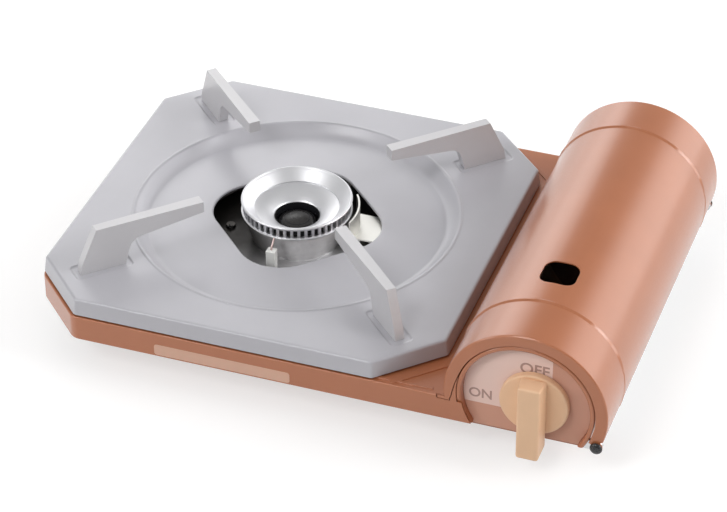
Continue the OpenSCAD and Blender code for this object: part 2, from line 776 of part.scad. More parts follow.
// Heat panel: a tab that faces the flame, a strip under the deck and a saddle at the cartridge
module heat_panel() {
    tab_r = rim_r + 3.2;
    tab_top = ring_top - 3;
    strip_end = can_x - sqrt(pow(can_d / 2 + 0.8, 2) - pow(can_z - strip_low_z, 2));
    step_x = burner_x + 52;
    y0 = panel_strip_y - panel_strip_w / 2;
    y1 = panel_strip_y + panel_strip_w / 2;
    color([0.86, 0.86, 0.84]) {
        at_burner() rotate([0, 0, -13]) rotate_extrude(angle = 47)
            translate([tab_r, strip_high_z]) square([strip_t, tab_top - strip_high_z]);
        difference() {
            box(burner_x + 20, step_x, y0, y1, strip_high_z, strip_high_z + strip_t);
            at_burner() bar_z(tab_r + strip_t / 2, 0, big, 0, 0);
        }
        box(step_x - strip_t, step_x, y0, y1, strip_low_z, strip_high_z + strip_t);
        box(step_x - strip_t, strip_end, y0, y1, strip_low_z, strip_low_z + strip_t);
        intersection() {
            difference() {
                bar_y(can_d / 2 + 0.9, y0, y1, can_x, can_z);
                bar_y(can_d / 2 + 0.1, y0 - 1, y1 + 1, can_x, can_z);
            }
            box(can_x - trough_r, can_x - 8, y0, y1, 0, strip_low_z + strip_t);
        }
    }
}

// ---- Igniter ----

electrode_r = 3;
electrode_dx = -1.2;
electrode_dy = rim_r + 6.4;
electrode_top = ring_low - 3;
electrode_x = burner_x + electrode_dx;
electrode_y = burner_y - electrode_dy;

module electrode() {
    color([0.95, 0.95, 0.93]) difference() {
        union() {
            bar_z(electrode_r, shield_z - 3, electrode_top - 0.6, electrode_x, electrode_y);
            translate([electrode_x, electrode_y, electrode_top - 0.6]) cylinder(r1 = electrode_r, r2 = electrode_r - 0.6, h = 0.6);
        }
        bar_z(0.62, 0, big, electrode_x, electrode_y);
    }
}

module electrode_wire() {
    lean = [0.5, 3.6, 4.8];
    color([0.55, 0.5, 0.48]) {
        bar_z(0.6, shield_z - 3, electrode_top + 0.6, electrode_x, electrode_y);
        translate([electrode_x, electrode_y, electrode_top + 0.6]) {
            sphere(r = 0.66);
            rotate([0, 0, atan2(lean[1], lean[0])]) rotate([0, atan2(norm([lean[0], lean[1]]), lean[2]), 0])
                cylinder(r = 0.6, h = norm(lean));
        }
    }
}

module electrode_bracket() {
    color([0.7, 0.7, 0.72]) difference() {
        union() {
            bar_z(electrode_r + 2, shield_z, shield_z + 1, electrode_x, electrode_y);
            bar_z(electrode_r + 1, shield_z, shield_z + 2.5, electrode_x, electrode_y);
            box(electrode_x - 14, electrode_x, electrode_y - 3.5, electrode_y + 3.5, shield_z, shield_z + 1);
        }
        bar_z(electrode_r + seat_gap, 0, big, electrode_x, electrode_y);
    }
}

lead_z = 31;
lead_route = [
    [piezo_front - piezo_len - lead_r, piezo_y, can_z],
    [cover_x - 34.3, piezo_y, can_z],
    [cover_x - 34.3, piezo_y, lead_z],
    [burner_x + 96, burner_y - 107, lead_z],
    [burner_x + 20, burner_y - 60, 27],
    [electrode_x, electrode_y, 26],
    [electrode_x, electrode_y, shield_z - 3 - lead_r]];

module ignition_lead() {
    color([0.9, 0.9, 0.88]) for (i = [0 : len(lead_route) - 2]) hull() {
        for (p = [lead_route[i], lead_route[i + 1]]) translate(p) sphere(r = lead_r, $fn = 12);
    }
}

module piezo_body() {
    half_z = 6;
    color([0.85, 0.83, 0.78]) difference() {
        box(piezo_front - piezo_len, piezo_front, cam_y, bulkhead_y, can_z - half_z, can_z + half_z);
        translate([piezo_front - 15, piezo_y, can_z]) rotate([0, 90, 0]) cylinder(r = plunger_r + running_gap, h = 16);
    }
}

module piezo_plunger() {
    tip = 1.6;
    color([0.3, 0.3, 0.32]) translate([can_x - cam_r - plunger_gap, piezo_y, can_z]) rotate([0, -90, 0]) {
        translate([0, 0, tip]) cylinder(r = plunger_r, h = 9.7 - tip + plunger_stroke);
        cylinder(r1 = 0.5, r2 = plunger_r, h = tip);
    }
}

// Snail cam: its radius grows evenly with angle over the knob's turn
function cam_at(a) = a >= 180 - knob_turn ?
    cam_r + cam_rise * (180 - min(a, 180)) :
    cam_r - 0.4 + (plunger_stroke + 0.4) * (a + 140) / (320 - knob_turn);

module ignition_cam() {
    color([0.3, 0.3, 0.32]) along_y(piezo_y - cam_t / 2, piezo_y + cam_t / 2) translate([can_x, can_z]) difference() {
        polygon([for (a = [-140 : 5 : 215]) cam_at(a) * [cos(a), sin(a)]]);
        circle(r = spindle_r + seat_gap);
    }
}

module valve_spindle() {
    color([0.8, 0.72, 0.45]) bar_y(spindle_r, knob_face - 2, valve_y + valve_len - 2.5, can_x, can_z);
}

// Knob: a disc with a tapered grip whose tail hangs past the disc
module control_knob() {
    draft = 1.2;
    round_r = 1.5;
    grip_half = grip_w / 2 - round_r;
    color([0.84, 0.66, 0.5]) difference() {
        union() {
            about_y(can_x, can_z) polygon([
                [0, knob_back], [knob_r, knob_back], [knob_r, knob_face + 0.8], [knob_r - 0.25, knob_face + 0.25],
                [knob_r - 0.8, knob_face], [0, knob_face]]);
            hull() {
                along_y(grip_face, grip_face + eps) for (x = [-1, 1], z = [round_r - grip_down, grip_up - round_r]) {
                    translate([can_x + x * grip_half, can_z + z]) circle(r = round_r - 0.8, $fn = hull_fn);
                }
                along_y(grip_face + 0.8, grip_face + 0.9) for (x = [-1, 1], z = [round_r - grip_down, grip_up - round_r]) {
                    translate([can_x + x * grip_half, can_z + z]) circle(r = round_r, $fn = hull_fn);
                }
                along_y(knob_face - eps, knob_face + 0.3) for (x = [-1, 1], z = [round_r - grip_down + 4, grip_up - round_r]) {
                    translate([can_x + x * (grip_half + draft), can_z + z]) circle(r = round_r, $fn = hull_fn);
                }
            }
        }
        bar_y(spindle_r + seat_gap, knob_face - 2, knob_back + 1, can_x, can_z);
    }
}

// ---- Fixings, feet and hinge ----

standoff_r = 3.5;
standoff_places = [
    for (x = [wall_left + 48, can_x - 76], y = [burner_y - 98, burner_y + 98]) [x, y]];

module standoffs() {
    color([0.75, 0.75, 0.77]) for (p = standoff_places) difference() {
        bar_z(standoff_r, pan_z + sheet, deck_z - sheet, p[0], p[1]);
        bar_z(1.5, 0, pan_z + 12, p[0], p[1]);
    }
}

module case_screws() {
    color([0.6, 0.6, 0.62]) for (p = standoff_places) {
        bar_z(1.45, pan_z, pan_z + 9, p[0], p[1]);
        translate([p[0], p[1], pan_z - 1.8]) cylinder(r1 = 2.6, r2 = 3.6, h = 1.8);
    }
}

module rubber_feet() {
    foot_r = 9;
    color([0.12, 0.12, 0.12]) {
        for (y = [burner_y - 84, burner_y + 84]) translate([wall_left + 30, y, 0]) {
            cylinder(r1 = foot_r - 1, r2 = foot_r, h = pan_z);
        }
        difference() {
            for (y = [drum_end + 12, wall_back - 24]) translate([can_x, y, 0]) {
                cylinder(r1 = foot_r - 1, r2 = foot_r, h = pan_z - 3);
            }
            trough_cut();
        }
    }
}

// Ears that carry the hinge pins: one on the drum, one on the trough
module hinge_brackets() {
    module ear() {
        difference() {
            union() {
                translate([hinge_x, hinge_z]) circle(r = bracket_r);
                translate([hinge_x - 12, hinge_z - bracket_r]) square([12, 2 * bracket_r]);
            }
            translate([hinge_x, hinge_z]) circle(r = hinge_pin_r + seat_gap);
        }
    }
    color([0.7, 0.7, 0.72]) {
        along_y(ear_front, ear_front + bracket_t) difference() {
            ear();
            translate([cover_x, cover_z]) circle(r = drum_r);
        }
        along_y(ear_back - bracket_t, ear_back) difference() {
            ear();
            translate([can_x, can_z]) circle(r = trough_r + sheet);
        }
    }
}

ear_front = wall_front + sheet + 0.3;
ear_back = cover_rear - sheet - 0.3;
cap_gap = 0.3;
cap_t = 2.6;

module hinge_pins() {
    color([0.75, 0.75, 0.77]) {
        bar_y(hinge_pin_r, wall_front - cap_gap - 1.5, ear_front + bracket_t, hinge_x, hinge_z);
        bar_y(hinge_pin_r, ear_back - bracket_t, cover_rear + cap_gap + 1.5, hinge_x, hinge_z);
    }
}

module hinge_caps() {
    cap_r = 3.5;
    color([0.06, 0.06, 0.06]) for (side = [0, 1]) {
        translate([hinge_x, side == 0 ? wall_front - cap_gap : cover_rear + cap_gap, hinge_z])
            rotate([side == 0 ? 90 : -90, 0, 0]) difference() {
                rotate_extrude() polygon(concat([[0, 0]],
                    [for (a = [0 : 15 : 90]) [cap_r * cos(a), 0.6 + (cap_t - 0.6) * sin(a)]], [[0, cap_t]]));
                translate([0, 0, -1]) cylinder(r = hinge_pin_r + seat_gap, h = 2.5);
            }
    }
}

// ---- Cover ----

// Shell profile (radius, y) with its folded ends and its two beads
cover_beads = [wall_front + 34, cover_rear - 28.6];
cover_profile = concat(
    [for (a = [0 : 30 : 90]) [shell_r - fold_r * (1 - sin(a)), wall_front + fold_r * (1 - cos(a))]],
    [for (y = cover_beads, p = [[0, -1.2], [bead_h, -0.5], [bead_h, 0.5], [0, 1.2]]) [shell_r + p[0], y + p[1]]],
    [for (a = [90 : -30 : 0]) [shell_r - fold_r * (1 - sin(a)), cover_rear - fold_r * (1 - cos(a))]],
    [[shell_r - fold_r - 0.4, cover_rear], [shell_r - fold_r - 0.4, cover_rear - sheet],
     [shell_r - fold_r, cover_rear - sheet], [shell_r - sheet, cover_rear - fold_r],
     [shell_r - sheet, wall_front + fold_r], [shell_r - fold_r, wall_front + sheet],
     [shell_r - fold_r - 0.4, wall_front + sheet], [shell_r - fold_r - 0.4, wall_front]]);

module cartridge_cover() {
    color([0.75, 0.46, 0.33]) difference() {
        union() {
            // Half-round shell
            difference() {
                about_y(cover_x, cover_z) polygon(cover_profile);
                box(-big, cover_x, -big, big, -big, deck_z + cover_gap);
                box(cover_x - eps, big, -big, big, -big, shell_end_z);
            }
            // Front flange with the finger tab
            along_y(wall_front, wall_front + sheet) {
                flange_outline();
                tab_outline();
            }
            // Rear wall with its hinge lug
            along_y(cover_rear - sheet, cover_rear) {
                flange_outline();
                intersection() {
                    translate([cover_x, cover_z]) circle(r = shell_r - fold_r);
                    translate([0, deck_z + cover_gap]) square([big, big]);
                }
            }
        }
        // Sight slot
        translate([cover_x, wall_front + slot_y, cover_z]) linear_extrude(big) square_rounded(slot_w / 2, 6);
    }
}

// ---- Drip tray and trivet ----

// Solid bounded by the tray's outside, moved in by the sheet's thickness where asked
module tray_solid(inset) {
    edge_r = 1.5;
    corner_r = 2.5;
    hull() {
        for (a = [0 : 22.5 : 90]) {
            translate([0, 0, tray_top_z - edge_r + (edge_r - inset) * sin(a)]) linear_extrude(eps)
                offset(r = corner_r, $fn = hull_fn)
                    polygon(octagon(tray_half - 1.2 - edge_r - corner_r + (edge_r - inset) * cos(a), tray_cut - corner_r * 0.6));
        }
        translate([0, 0, skirt_z - (inset > 0 ? 1 : 0)]) linear_extrude(eps) offset(r = corner_r, $fn = hull_fn)
            polygon(octagon(tray_half - corner_r - inset, tray_cut - corner_r * 0.6));
    }
}

// Upper line of the dish: a wall that leaves the top at a crisp edge, then a floor that rises gently to the opening
dish_line = concat(
    [for (i = [0 : 8]) [dish_r - dish_wall * i / 8, tray_top_z - dish_drop * sin(90 * i / 8)]],
    [[opening_half - 6, dish_low_z + dish_rise]]);

module foot_pad(grow, depth) {
    at_burner() rotate([0, 0, 45]) for (a = [0 : 90 : 270]) rotate([0, 0, a]) {
        translate([arm_out_r - arm_foot_len / 2, 0, tray_top_z - depth]) linear_extrude(depth + 1)
            square([arm_foot_len + 7 + grow, arm_foot_w + 7 + grow], center = true);
    }
}

module drip_tray() {
    color([0.71, 0.71, 0.73]) difference() {
        union() {
            difference() {
                at_burner() tray_solid(0);
                at_burner() tray_solid(tray_t);
                at_burner() cylinder(r = dish_r, h = big);
            }
            at_burner() rotate_extrude() polygon(concat([[dish_r + 1, tray_top_z]], dish_line,
                [for (i = [len(dish_line) - 1 : -1 : 0]) dish_line[i] - [0, tray_t]],
                [[dish_r + 1, tray_top_z - tray_t]]));
            intersection() {
                foot_pad(1.4, pad_depth + tray_t);
                box(-big, big, -big, big, 0, tray_top_z - eps);
            }
        }
        foot_pad(0, pad_depth);
        at_burner() rotate([0, 0, 45]) linear_extrude(big) square_rounded(opening_half, opening_round);
        at_burner() for (a = [45 : 90 : 315]) rotate([0, 0, a]) arm_tabs(0.15);
    }
}

// Tabs under a foot that pass through the tray
module arm_tabs(clear) {
    for (s = [-1, 1]) translate([arm_out_r - arm_foot_len / 2, s * (arm_foot_w / 2 - arm_sheet / 2), foot_z - 1.4]) {
        cube([10 + 2 * clear, arm_sheet + 2 * clear, 3], center = true);
    }
}

// Side view of an arm (distance from the burner's axis, height)
module arm_side() {
    polygon([
        [arm_tip_r, trivet_top], [arm_top_out, trivet_top], [arm_out_r - 0.9, shoulder_z], [arm_out_r, foot_z],
        [arm_out_r - arm_foot_len, foot_z], [arm_out_r - arm_foot_len - 2.4, foot_z + 9],
        [arm_out_r - arm_foot_len - 4.2, foot_z + 13], [arm_out_r - arm_foot_len - 7, foot_z + 15.2],
        [arm_out_r - arm_foot_len - 10, foot_z + 16], [arm_tip_r, trivet_top - 6.8]]);
}

// The arm's hollow: everything under its top web and behind its outer web
module arm_hollow_side() {
    polygon([
        [arm_tip_r + arm_sheet, trivet_top - arm_sheet], [arm_top_out - 0.5, trivet_top - arm_sheet],
        [arm_out_r - 0.9 - arm_sheet, shoulder_z], [arm_out_r - arm_sheet, foot_z - 1],
        [arm_tip_r + arm_sheet, foot_z - 1]]);
}

module arm_plan(inset) {
    polygon([
        [arm_tip_r - 1, arm_tip_w / 2 - inset], [arm_out_r + 1, arm_foot_w / 2 - inset],
        [arm_out_r + 1, inset - arm_foot_w / 2], [arm_tip_r - 1, inset - arm_tip_w / 2]]);
}

module arm_prism() {
    translate([0, 20, 0]) rotate([90, 0, 0]) linear_extrude(40) children();
}

module trivet_arm(turn) {
    color([0.78, 0.78, 0.79]) at_burner() rotate([0, 0, turn]) {
        difference() {
            intersection() {
                arm_prism() arm_side();
                linear_extrude(big) arm_plan(0);
            }
            intersection() {
                arm_prism() arm_hollow_side();
                linear_extrude(big) arm_plan(arm_sheet);
            }
        }
        arm_tabs(0);
    }
}

module trivet_arm_front_left() {
    trivet_arm(225);
}

module trivet_arm_front_right() {
    trivet_arm(315);
}

module trivet_arm_back_left() {
    trivet_arm(135);
}

module trivet_arm_back_right() {
    trivet_arm(45);
}

upper_shell();
bottom_pan();
cartridge_trough();
front_boss();
dial_panel();
bulkhead();
partition_plate();
magnets();
guide_key();
regulator_body();
regulator_cap();
diaphragm();
regulator_screws();
inlet_seal();
gas_valve();
jet();
mixing_tube();
burner_base();
burner_ring();
burner_cap();
burner_core();
burner_bracket();
shield_screws();
heat_shield();
heat_panel();
electrode();
electrode_wire();
electrode_bracket();
ignition_lead();
piezo_body();
standoffs();
case_screws();
rubber_feet();
hinge_brackets();
hinge_pins();
hinge_caps();
control_knob();
valve_spindle();
ignition_cam();
piezo_plunger();
cartridge_cover();
drip_tray();
trivet_arm_front_left();
trivet_arm_front_right();
trivet_arm_back_left();
trivet_arm_back_right();
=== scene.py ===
"""Cassette stove: its visible pieces, finishes, light and camera, laid out as an add-on."""

import json
from math import cos, hypot, pi, radians, sin, sqrt, tan

import bmesh
import bpy
from bpy.props import FloatProperty, FloatVectorProperty, IntProperty, PointerProperty
from mathutils import Matrix, Vector


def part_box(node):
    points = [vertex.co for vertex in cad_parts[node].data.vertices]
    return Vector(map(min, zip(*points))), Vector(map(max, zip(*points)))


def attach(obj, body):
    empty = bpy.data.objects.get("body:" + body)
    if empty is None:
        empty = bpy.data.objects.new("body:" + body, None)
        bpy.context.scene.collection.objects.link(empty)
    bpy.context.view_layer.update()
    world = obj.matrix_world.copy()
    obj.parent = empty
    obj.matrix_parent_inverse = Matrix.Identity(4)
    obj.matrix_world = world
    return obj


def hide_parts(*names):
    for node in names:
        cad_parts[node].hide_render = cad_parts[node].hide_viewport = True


bl_info = {
    "name": "Cassette stove",
    "version": (1, 0, 0),
    "blender": (4, 5, 0),
    "location": "3D View > Sidebar > Stove",
    "description": "Builds a butane cassette stove's visible pieces on its packed solids",
    "category": "Object",
}

MM = 0.001
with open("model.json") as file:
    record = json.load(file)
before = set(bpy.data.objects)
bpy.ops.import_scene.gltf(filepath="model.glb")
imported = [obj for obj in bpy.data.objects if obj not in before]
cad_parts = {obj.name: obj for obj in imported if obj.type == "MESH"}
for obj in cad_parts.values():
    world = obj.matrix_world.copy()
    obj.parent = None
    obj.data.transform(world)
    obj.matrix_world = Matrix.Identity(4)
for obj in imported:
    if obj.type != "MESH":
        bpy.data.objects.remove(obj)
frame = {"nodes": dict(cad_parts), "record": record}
NODES = frame["nodes"]
BODY_OF = {n: b for b, members in frame["record"]["behaviour"]["bodies"].items() for n in members}
SLOT_OF = {s["node"]: s["material_slot"] for s in frame["record"]["subparts"]}


def middle(node):
    low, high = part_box(node)
    return (low + high) / 2


BURNER = Vector((middle("burner_ring").x, middle("burner_ring").y, 0))
KNOB = middle("valve_spindle")
TRAY_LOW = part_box("drip_tray")[0].z
TRAY_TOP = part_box("drip_tray")[1].z
CASE_SHEET = 0.8 * MM
DECK_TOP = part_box("standoffs")[1].z + CASE_SHEET
CASE_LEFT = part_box("upper_shell")[0].x
CASE_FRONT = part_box("upper_shell")[0].y
DIAL_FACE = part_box("dial_panel")[0].y


# ---- Settings ----


def length(name, description, value):
    return FloatProperty(name=name, description=description, default=value, min=0.0,
                         unit="LENGTH", precision=4)


def colour(name, description, value):
    return FloatVectorProperty(name=name, description=description, default=value, size=3,
                               subtype="COLOR", min=0, max=1)


def power(name, description, value):
    return FloatProperty(name=name, description=description, default=value, min=0.0, unit="POWER")


def degrees(name, description, value):
    return FloatProperty(name=name, description=description, default=radians(value),
                         unit="ROTATION")


class StoveTraySettings(bpy.types.PropertyGroup):
    dish_radius: length("Dish radius", "Radius of the tray's dish at its top", 93.5 * MM)
    dish_wall: length("Dish wall", "Radial width of the dish's curved wall", 8 * MM)
    dish_drop: length("Dish drop", "Depth of the dish at the foot of its wall", 5.9 * MM)
    dish_rise: length("Floor rise", "Rise of the floor from the wall to the opening", 2.8 * MM)
    opening_half: length("Opening", "Distance of the opening's sides from the burner", 43 * MM)
    opening_round: length("Opening corners", "Corner radius of the opening", 26 * MM)
    edge_roll: length("Edge roll", "Radius of the rolled outer edge", 1.5 * MM)
    sheet: length("Sheet", "Thickness of the tray's sheet", 0.8 * MM)
    pad_length: length("Pad length", "Length of the pressed pad under a trivet foot", 34 * MM)
    pad_width: length("Pad width", "Width of that pad", 13 * MM)
    pad_depth: length("Pad depth", "Depth of that pad", 0.6 * MM)


class StoveBurnerSettings(bpy.types.PropertyGroup):
    ports: IntProperty(name="Ports", description="Number of flame ports", default=48,
                       min=24, max=72)
    port_width: length("Port width", "Width of a flame port", 2.3 * MM)
    rim_roll: length("Rim roll", "Radius of the rolled rim", 0.9 * MM)


class StoveFinishSettings(bpy.types.PropertyGroup):
    copper: colour("Copper paint", "Paint of the case and cover", (0.43, 0.147, 0.062))
    tray: colour("Tray enamel", "Enamel of the tray", (0.45, 0.444, 0.475))
    arms: colour("Trivet enamel", "Enamel of the trivet arms", (0.56, 0.55, 0.565))
    knob: colour("Knob", "Moulded knob", (0.82, 0.53, 0.33))
    dial: colour("Dial", "Dial panel", (0.6, 0.31, 0.22))
    dial_light: colour("Dial wedge", "Lighter wedge of the dial", (0.82, 0.6, 0.53))
    words: colour("Dial words", "Words on the dial", (0.42, 0.26, 0.22))


class StoveStageSettings(bpy.types.PropertyGroup):
    floor: colour("Floor", "Pale floor under the stove", (0.5, 0.5, 0.5))
    key: power("Key light", "Power of the light behind the tray", 1.0)
    side: power("Side light", "Power of the light at the front left", 7.0)
    azimuth: degrees("Azimuth", "Camera's angle round the stove", 19.68)
    elevation: degrees("Elevation", "Camera's angle above the table", 35.95)


SETTINGS = {"stove_tray": StoveTraySettings, "stove_burner": StoveBurnerSettings,
            "stove_finish": StoveFinishSettings, "stove_stage": StoveStageSettings}


# ---- Material helpers ----


RANGE_SOCKETS = ("From Min", "From Max", "To Min", "To Max")


class Shading:
    """A material's node tree with short ways to add nodes."""

    def __init__(self, name):
        self.material = bpy.data.materials.new(name)
        self.material.use_nodes = True
        self.tree = self.material.node_tree
        self.tree.nodes.clear()
        self.shader = self.node("ShaderNodeBsdfPrincipled")
        output = self.node("ShaderNodeOutputMaterial")
        self.link(self.shader.outputs[0], output.inputs[0])
        self.place = self.node("ShaderNodeTexCoord").outputs["Object"]

    def node(self, kind, **values):
        made = self.tree.nodes.new(kind)
        for key, value in values.items():
            if key in made.bl_rna.properties:
                setattr(made, key, value)
            else:
                made.inputs[key.replace("_", " ")].default_value = value
        return made

    def link(self, source, target):
        self.tree.links.new(source, target)

    def surface(self, base, roughness, metallic=0.0, **rest):
        sockets = self.shader.inputs
        sockets["Base Color"].default_value = (*base, 1)
        sockets["Roughness"].default_value = roughness
        sockets["Metallic"].default_value = metallic
        for key, value in rest.items():
            sockets[key.replace("_", " ")].default_value = value
        return self

    def noise(self, scale, detail=2.0):
        noise = self.node("ShaderNodeTexNoise", Scale=scale, Detail=detail)
        self.link(self.place, noise.inputs["Vector"])
        return noise.outputs["Fac"]

    def ramp(self, source, low, high, start=0.3, end=0.7):
        """A value turned into a colour between low and high."""
        ramp = self.node("ShaderNodeValToRGB")
        ramp.color_ramp.elements[0].position = start
        ramp.color_ramp.elements[1].position = end
        ramp.color_ramp.elements[0].color = (*low, 1)
        ramp.color_ramp.elements[1].color = (*high, 1)
        self.link(source, ramp.inputs[0])
        return ramp.outputs[0]

    def spread(self, source, low, high, start=0.3, end=0.7):
        """A value from start to end turned into one from low to high."""
        spread = self.node("ShaderNodeMapRange")
        for socket, value in zip(RANGE_SOCKETS, (start, end, low, high)):
            spread.inputs[socket].default_value = value
        self.link(source, spread.inputs["Value"])
        return spread.outputs[0]

    def bump(self, source, distance, strength):
        bump = self.node("ShaderNodeBump", Distance=distance, Strength=strength)
        self.link(source, bump.inputs["Height"])
        self.link(bump.outputs[0], self.shader.inputs["Normal"])

    def math(self, operation, *values):
        made = self.node("ShaderNodeMath", operation=operation)
        for socket, value in zip(made.inputs, values):
            if isinstance(value, (int, float)):
                socket.default_value = value
            else:
                self.link(value, socket)
        return made.outputs[0]

    def parts_of_place(self):
        """The Object coordinates as x, y and z."""
        parts = self.node("ShaderNodeSeparateXYZ")
        self.link(self.place, parts.inputs[0])
        return parts.outputs

    def tint(self, base, low, high, scale, detail=3.0):
        """Base colour that wanders between two shades of itself."""
        self.link(self.ramp(self.noise(scale, detail), shade(base, low), shade(base, high)),
                  self.shader.inputs["Base Color"])

    def rough(self, source, low, high):
        self.link(self.spread(source, low, high), self.shader.inputs["Roughness"])


def shade(base, factor):
    return tuple(min(1.0, c * factor) for c in base)


def chosen(name):
    """A colour from the finish settings."""
    return getattr(bpy.context.scene.stove_finish, name)


FINE_GRAIN = 0.01 * MM


def copper_paint(name="copper_paint", gloss=0.24):
    base = chosen("copper")
    s = Shading(name).surface(base, 0.42, 0.12, Specular_IOR_Level=0.2,
                              Coat_Weight=1.0, Coat_Roughness=gloss, Coat_IOR=1.5)
    s.tint(base, 0.97, 1.03, 35)
    s.rough(s.noise(900), 0.39, 0.45)
    s.bump(s.noise(2600), FINE_GRAIN, 0.35)
    return s.material


def enamel(name, base, roughness=0.42):
    s = Shading(name).surface(base, roughness, 0.12, Coat_Weight=0.5, Coat_Roughness=0.22)
    s.tint(base, 0.97, 1.03, 22)
    s.rough(s.noise(1200), roughness - 0.04, roughness + 0.05)
    s.bump(s.noise(3200), FINE_GRAIN, 0.3)
    return s.material


def turned_metal(name, base, roughness, centre):
    """Metal turned on a lathe: fine rings about a vertical axis."""
    s = Shading(name).surface(base, roughness, 1.0)
    place = s.parts_of_place()
    x = s.math("SUBTRACT", place[0], centre.x)
    y = s.math("SUBTRACT", place[1], centre.y)
    radius = s.math("SQRT", s.math("ADD", s.math("MULTIPLY", x, x), s.math("MULTIPLY", y, y)))
    rings = s.node("ShaderNodeTexNoise", noise_dimensions="1D", Scale=2400.0, Detail=3.0)
    s.link(radius, rings.inputs["W"])
    s.rough(rings.outputs["Fac"], roughness - 0.04, roughness + 0.05)
    s.bump(rings.outputs["Fac"], 0.006 * MM, 0.25)
    return s.material


def plated(name, base, roughness, scale):
    """Bare or plated metal with a mottled sheen."""
    s = Shading(name).surface(base, roughness, 1.0)
    s.rough(s.noise(scale, 3), roughness - 0.05, roughness + 0.07)
    s.tint(base, 0.92, 1.05, scale * 0.5)
    return s.material


def moulded(name, base, roughness, grain=0.015 * MM, scale=2200, **rest):
    """Plastic, rubber, print or glaze with a fine grain."""
    s = Shading(name).surface(base, roughness, **rest)
    s.tint(base, 0.98, 1.02, 90)
    s.rough(s.noise(scale * 0.5), roughness - 0.05, roughness + 0.05)
    s.bump(s.noise(scale), grain, 0.5)
    return s.material


def shield_sheet():
    """Pressed heat shield with painted shade and light: near black at the back and left, a
    painted lit sheet towards the front.
    """
    painted_shade, painted_lit_sheet = (0.03, 0.027, 0.025), (0.8, 0.79, 0.8)
    s = Shading("shield_sheet").surface(painted_shade, 0.34, 0.6)
    place = s.parts_of_place()
    x = s.math("SUBTRACT", place[0], BURNER.x)
    y = s.math("SUBTRACT", place[1], BURNER.y)
    # Painted shade and reflection: dark at the back and left, lit towards the front and right
    forward = s.math("SUBTRACT", s.math("MULTIPLY", x, 0.5), s.math("MULTIPLY", y, 0.87))
    lit_share = s.math("MULTIPLY", s.spread(forward, 0.0, 1.0, 2 * MM, 29 * MM),
                   s.spread(x, 0.12, 1.0, -32 * MM, 12 * MM))
    mottle = s.spread(s.noise(260, 3), 0.9, 1.08)
    s.link(s.ramp(s.math("MULTIPLY", lit_share, mottle), painted_shade, painted_lit_sheet, 0.0, 1.0),
           s.shader.inputs["Base Color"])
    s.rough(s.noise(500), 0.3, 0.4)
    return s.material


# Edges of the dial's lighter wedge, from the knob's axis
WEDGE_RIGHT = 8.7 * MM
WEDGE_FOOT = -9.6 * MM


def dial_print():
    """Dial panel with a lighter wedge that runs from ON round to OFF."""
    s = Shading("dial_finish").surface(chosen("dial"), 0.5)
    place = s.parts_of_place()
    left = s.math("LESS_THAN", place[0], KNOB.x + WEDGE_RIGHT)
    above = s.math("GREATER_THAN", place[2], KNOB.z + WEDGE_FOOT)
    mix = s.node("ShaderNodeMix", data_type="RGBA")
    s.link(s.math("MULTIPLY", left, above), mix.inputs[0])
    mix.inputs[6].default_value = (*chosen("dial"), 1)
    mix.inputs[7].default_value = (*chosen("dial_light"), 1)
    s.link(mix.outputs[2], s.shader.inputs["Base Color"])
    s.bump(s.noise(2400), FINE_GRAIN, 0.4)
    return s.material


# Slots of the solids, then looks that only visible pieces have
FINISHES = {
    "steel": lambda: plated("zinc_sheet", (0.62, 0.62, 0.63), 0.34, 30),
    "bright": lambda: plated("bright_plate", (0.82, 0.82, 0.84), 0.14, 80),
    "zinc": lambda: plated("die_cast_zinc", (0.55, 0.55, 0.54), 0.42, 200),
    "brass": lambda: plated("brass", (0.75, 0.55, 0.24), 0.25, 90),
    "magnet": lambda: plated("sintered_magnet", (0.12, 0.12, 0.125), 0.5, 260),
    "rubber": lambda: moulded("black_rubber", (0.012, 0.012, 0.012), 0.4),
    "ceramic": lambda: moulded("glazed_ceramic", (0.82, 0.82, 0.8), 0.18, 0.006 * MM, 900),
    "lead_sleeve": lambda: moulded("silicone_sleeve", (0.7, 0.69, 0.66), 0.55),
    "ivory": lambda: moulded("igniter_case", (0.7, 0.67, 0.58), 0.35),
    "black_plastic": lambda: moulded("black_plastic", (0.02, 0.02, 0.021), 0.28),
    "black_enamel": lambda: moulded("black_enamel", (0.018, 0.016, 0.015), 0.3, 0.02 * MM, 600),
    "copper": copper_paint,
    "grey": lambda: enamel("tray_enamel", chosen("tray")),
    "aluminium": lambda: turned_metal("turned_aluminium", (0.78, 0.78, 0.8), 0.42, BURNER),
    "beige": lambda: moulded("beige_moulding", chosen("knob"), 0.42),
    "dial": dial_print,
    "arms": lambda: enamel("arm_enamel", chosen("arms"), 0.36),
    "bead": lambda: copper_paint("bead_paint", 0.12),
    "plate": lambda: enamel("plate_print", (0.66, 0.39, 0.28), 0.45),
    "words": lambda: moulded("dial_words", chosen("words"), 0.5),
    "shield": shield_sheet,
    "cream": lambda: plated("heat_panel_plate", (0.83, 0.82, 0.78), 0.4, 50),
    "dark_screw": lambda: plated("blackened_screw", (0.09, 0.085, 0.08), 0.35, 300),
    "wire": lambda: plated("spark_wire", (0.6, 0.47, 0.45), 0.35, 200),
    # Glossy black of the eye's dome, and painted shade on the sleeve in the eye
    "glaze": lambda: moulded("black_glaze", (0.014, 0.014, 0.016), 0.1, 0.004 * MM, 500,
                             Specular_IOR_Level=0.4),
    # Black that is painted shade: behind the flame ports and in the screws' cross recesses
    "soot": lambda: moulded("port_soot", (0.006, 0.006, 0.006), 0.8),
}
_made = {}


def finish(name):
    """The material of a look, made when it is first asked for."""
    if name not in _made:
        _made[name] = FINISHES[name]()
    return _made[name]


# ---- Mesh helpers ----


def settle(obj, body, slot=None, replaces=(), look=None):
    """Gives a piece its finish, and ties it to its body."""
    obj.data.materials.clear()
    obj.data.materials.append(finish(look or slot))
    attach(obj, body)
    if replaces:
        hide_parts(*replaces)
    return obj


def link_mesh(name, mesh):
    obj = bpy.data.objects.new(name, mesh)
    bpy.context.scene.collection.objects.link(obj)
    return obj


